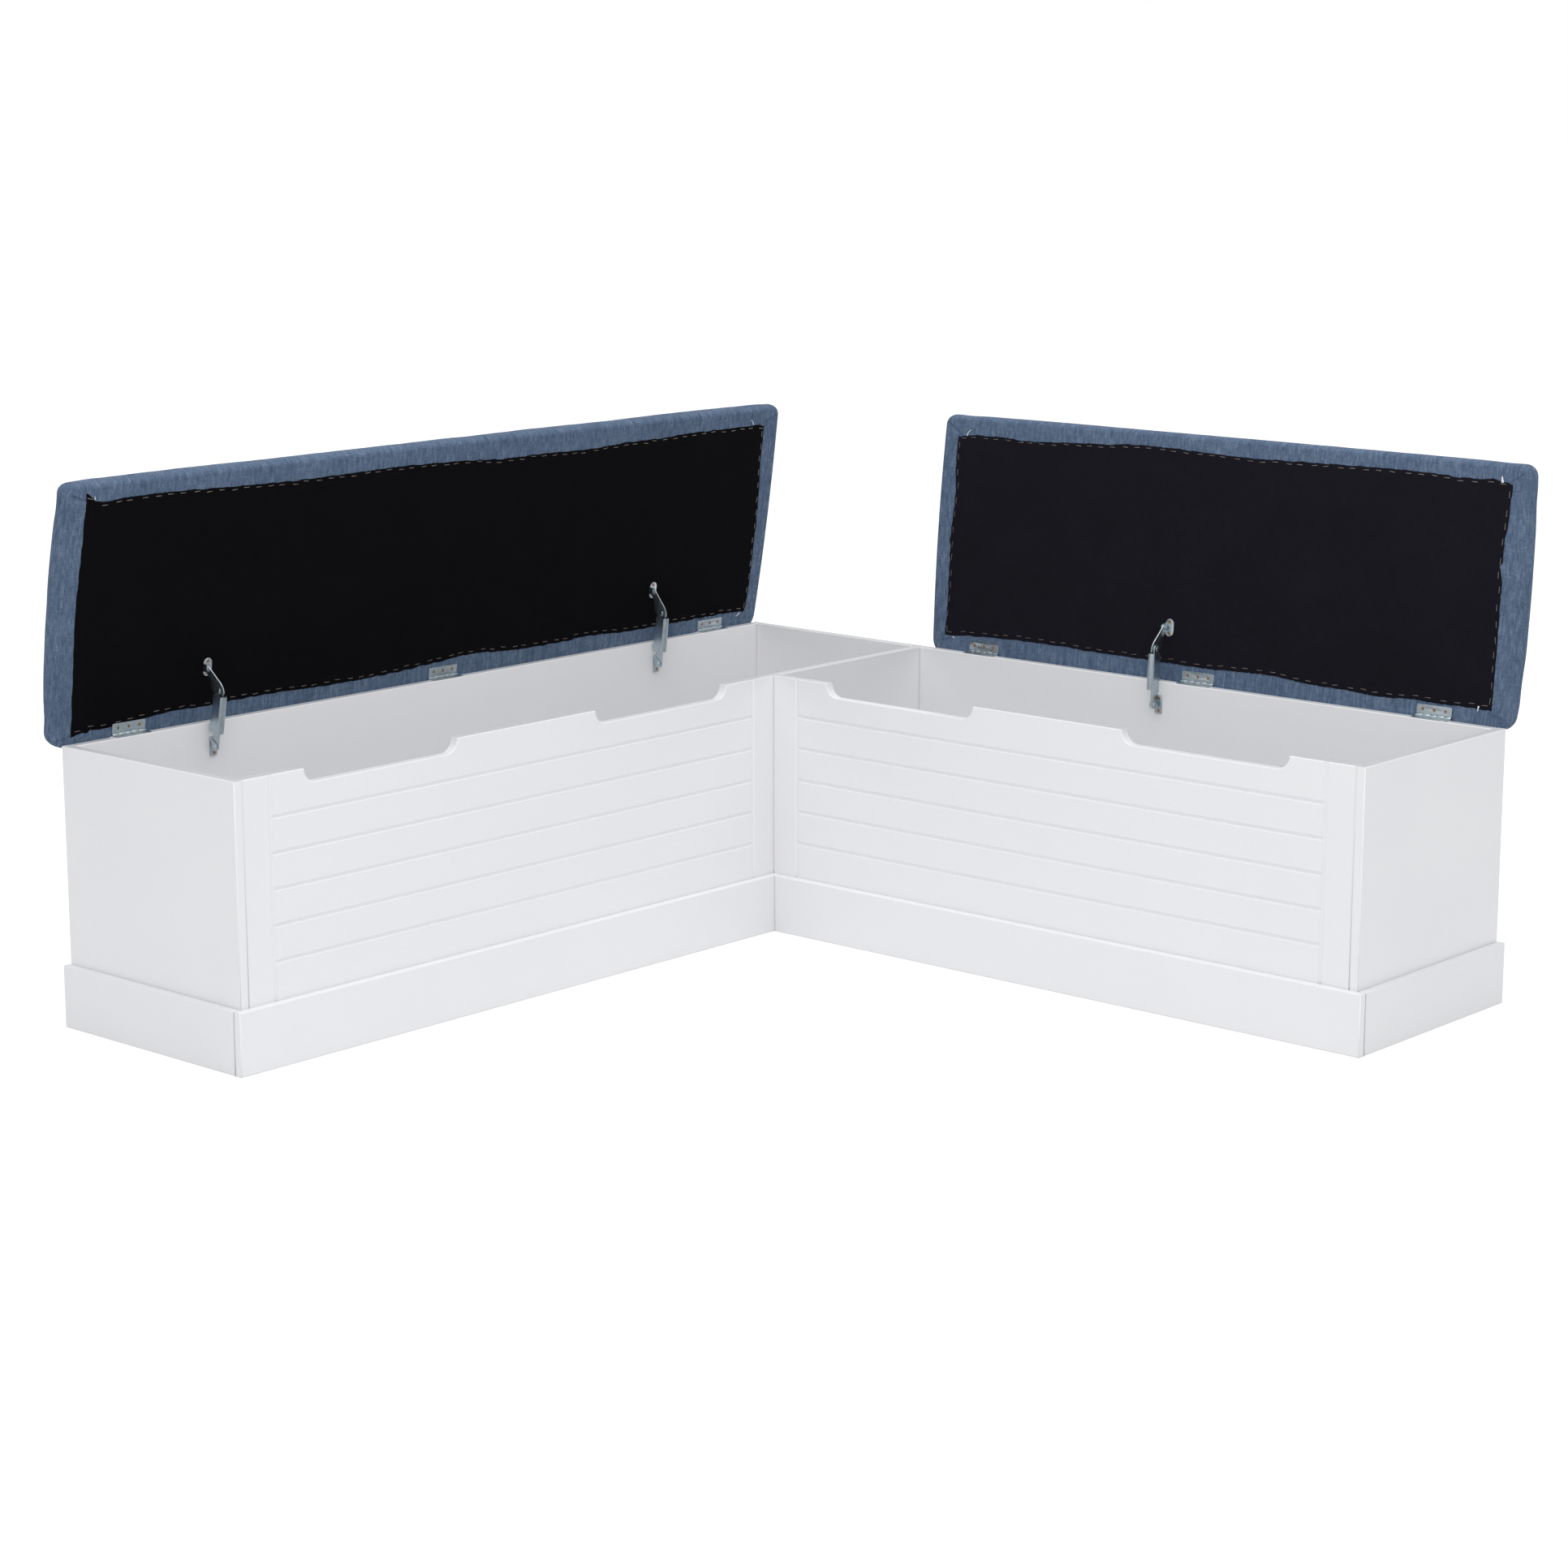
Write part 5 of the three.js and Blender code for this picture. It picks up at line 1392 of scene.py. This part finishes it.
class BENCH_PG_fabric(bpy.types.PropertyGroup):
    dark: colour("Dark threads", "Darkest thread colour", (0.040, 0.068, 0.125))
    middle: colour("Middle threads", "Most common thread colour", (0.090, 0.136, 0.216))
    light: colour("Light threads", "Faded thread colour", (0.190, 0.252, 0.345))
    thread: number("Thread pitch", "Distance between threads", 0.0011, min=0.0003, unit="LENGTH")
    slub: number("Slubs", "Contrast of the uneven threads", 0.8, min=0, max=1, subtype="FACTOR")
    patches: number("Patches", "Contrast of the faded patches", 0.28, min=0, max=1, subtype="FACTOR")
    folds: number("Corner folds", "Height of the folds at the corners, in millimetres", 0.9, min=0, max=2)


class BENCH_PG_cloth(bpy.types.PropertyGroup):
    left: colour("Left cloth", "Colour of the left lid's black cloth", (0.0026, 0.0026, 0.0034))
    right: colour("Right cloth", "Colour of the right lid's black cloth", (0.0092, 0.0087, 0.0130))
    thickness: number("Thickness", "Thickness of the black cloth", 0.00022, min=0.0001, unit="LENGTH")


class BENCH_PG_fixing(bpy.types.PropertyGroup):
    length: number("Staple length", "Length of a staple's crown", 0.0098, min=0.004, unit="LENGTH")
    pitch: number("Staple pitch", "Distance between staples", 0.0235, min=0.01, unit="LENGTH")


class BENCH_PG_steel(bpy.types.PropertyGroup):
    zinc: colour("Zinc", "Zinc-plated steel", (0.55, 0.63, 0.675))
    tint: colour("Yellow tint", "Passivated patches on the zinc", (0.55, 0.54, 0.36))
    brass: colour("Screws", "Yellow-plated screws", (0.46, 0.29, 0.17))
    staple: colour("Staples", "Staple wire", (0.26, 0.22, 0.20))
    roughness: number("Roughness", "Roughness of the zinc", 0.30, min=0, max=1, subtype="FACTOR")


class BENCH_PG_stage(bpy.types.PropertyGroup):
    floor: colour("Floor", "Floor colour", (0.80, 0.80, 0.80))
    floor_glow: number("Floor glow", "White that the camera adds to the floor", 0.5, min=0, max=1)
    sky: colour("Sky", "Colour of the even light", (0.98, 0.985, 1.0))
    sky_strength: number("Sky strength", "Strength of the even light", 0.75, min=0)
    key: number("Key lamp", "Power of the key lamp", 27.0, min=0, unit="POWER")
    top: number("Top lamp", "Power of the lamp overhead", 45.0, min=0, unit="POWER")
    lens: number("Lens", "Focal length in millimetres on a 36 mm sensor", 81.49, min=20)


# Operators


class BENCH_OT_set_stage(bpy.types.Operator):
    """Lays the floor and sets the lamps, the sky and the camera"""

    bl_idname = "bench.set_stage"
    bl_label = "Set stage"

    def execute(self, context):
        stage = context.scene.bench_stage
        mesh = bpy.data.meshes.new("floor")
        mesh.from_pydata([(-40, -40, 0), (40, -40, 0), (40, 40, 0), (-40, 40, 0)], [], [(0, 1, 2, 3)])
        mesh.materials.append(floor_material(stage))
        new_object("floor", mesh)
        light_world(stage)
        for name, (place, target, size) in LAMPS.items():
            add_lamp(f"{name} lamp", place, target, size, getattr(stage, name))
        camera = bpy.data.cameras.new("camera")
        camera.lens, camera.sensor_width, camera.clip_end = stage.lens, 36, 200
        made = new_object("camera", camera)
        yaw, dip = math.radians(CAMERA_YAW), math.radians(CAMERA_DIP)
        ahead = Vector((math.cos(yaw) * math.cos(dip), math.sin(yaw) * math.cos(dip), -math.sin(dip)))
        aim(made, CAMERA_PLACE, CAMERA_PLACE + ahead)
        context.scene.camera = made
        context.scene.view_settings.view_transform = "Standard"
        return {"FINISHED"}


class BENCH_OT_paint_case(bpy.types.Operator):
    """Paints the case boards and plinths"""

    bl_idname = "bench.paint_case"
    bl_label = "Paint case"

    def execute(self, context):
        paint = context.scene.bench_paint
        for node in CASE_NODES:
            finish_node(node, paint_material(paint))
        add_board_lines(paint)
        return {"FINISHED"}


class BENCH_OT_upholster_lids(bpy.types.Operator):
    """Makes both padded lids and finishes the boards in them"""

    bl_idname = "bench.upholster_lids"
    bl_label = "Upholster lids"

    def execute(self, context):
        for side in LIDS:
            add_cover(side, context.scene.bench_fabric)
            finish_node(f"{side}_lid_board", mottled_material("raw board"))
            finish_node(f"{side}_lid_pad", mottled_material("seat foam"))
        return {"FINISHED"}


class BENCH_OT_staple_cloths(bpy.types.Operator):
    """Stretches the black cloths under the lids and staples them, with the cord ends at their corners"""

    bl_idname = "bench.staple_cloths"
    bl_label = "Staple black cloths"

    def execute(self, context):
        scene = context.scene
        for side in LIDS:
            add_cloth(side, scene.bench_cloth)
            add_staples(side, scene.bench_fixing, scene.bench_steel)
            add_cord_ends(side)
        return {"FINISHED"}


class BENCH_OT_fit_hinges(bpy.types.Operator):
    """Finishes the six butt hinges"""

    bl_idname = "bench.fit_hinges"
    bl_label = "Fit hinges"

    def execute(self, context):
        material = metal_material(context.scene.bench_steel, "zinc")
        for side in LIDS:
            for index in HINGES:
                for part in HINGE_PARTS:
                    smooth_copy(f"{side}_hinge_{index}_{part}", material, HINGE_BEVEL)
        return {"FINISHED"}


class BENCH_OT_fit_stays(bpy.types.Operator):
    """Finishes the three spring stays, with their rivets and pressed marks"""

    bl_idname = "bench.fit_stays"
    bl_label = "Fit stays"

    def execute(self, context):
        steel = context.scene.bench_steel
        material = metal_material(steel, "zinc")
        for name in STAYS:
            for part in STAY_PARTS:
                bevel = 0.0 if part == "spring" else STAY_BEVEL
                piece = smooth_copy(f"{name}_{part}", material, bevel)
                if part == "spring":
                    move_spring(piece, name)
        for add in (add_cam_arms, add_sleeves, add_rivets, add_marks):
            add(steel)
        return {"FINISHED"}


class BENCH_OT_drive_screws(bpy.types.Operator):
    """Drives the screws of the hinges and stays"""

    bl_idname = "bench.drive_screws"
    bl_label = "Drive screws"

    def execute(self, context):
        add_screws(context.scene.bench_steel)
        return {"FINISHED"}


class BENCH_PT_sidebar(bpy.types.Panel):
    """The bench's settings and steps"""

    bl_idname = "BENCH_PT_sidebar"
    bl_label = "Corner storage bench"
    bl_space_type = "VIEW_3D"
    bl_region_type = "UI"
    bl_category = "Bench"

    def draw(self, context):
        layout = self.layout
        for name, group in SETTINGS.items():
            box = layout.box()
            settings = getattr(context.scene, name)
            for key in group.__annotations__:
                box.prop(settings, key)
        for operator in OPERATORS:
            layout.operator(operator.bl_idname)


SETTINGS = {
    "bench_paint": BENCH_PG_paint,
    "bench_fabric": BENCH_PG_fabric,
    "bench_cloth": BENCH_PG_cloth,
    "bench_fixing": BENCH_PG_fixing,
    "bench_steel": BENCH_PG_steel,
    "bench_stage": BENCH_PG_stage,
}
OPERATORS = (
    BENCH_OT_set_stage,
    BENCH_OT_paint_case,
    BENCH_OT_upholster_lids,
    BENCH_OT_staple_cloths,
    BENCH_OT_fit_hinges,
    BENCH_OT_fit_stays,
    BENCH_OT_drive_screws,
)


def register():
    for group in (*SETTINGS.values(), *OPERATORS, BENCH_PT_sidebar):
        bpy.utils.register_class(group)
    for name, group in SETTINGS.items():
        setattr(bpy.types.Scene, name, bpy.props.PointerProperty(type=group))


def unregister():
    for name in SETTINGS:
        delattr(bpy.types.Scene, name)
    for group in reversed((*SETTINGS.values(), *OPERATORS, BENCH_PT_sidebar)):
        bpy.utils.unregister_class(group)


def main():
    register()
    bpy.ops.bench.set_stage()
    bpy.ops.bench.paint_case()
    bpy.ops.bench.upholster_lids()
    bpy.ops.bench.staple_cloths()
    bpy.ops.bench.fit_hinges()
    bpy.ops.bench.fit_stays()
    bpy.ops.bench.drive_screws()


if __name__ == "__main__":
    main()
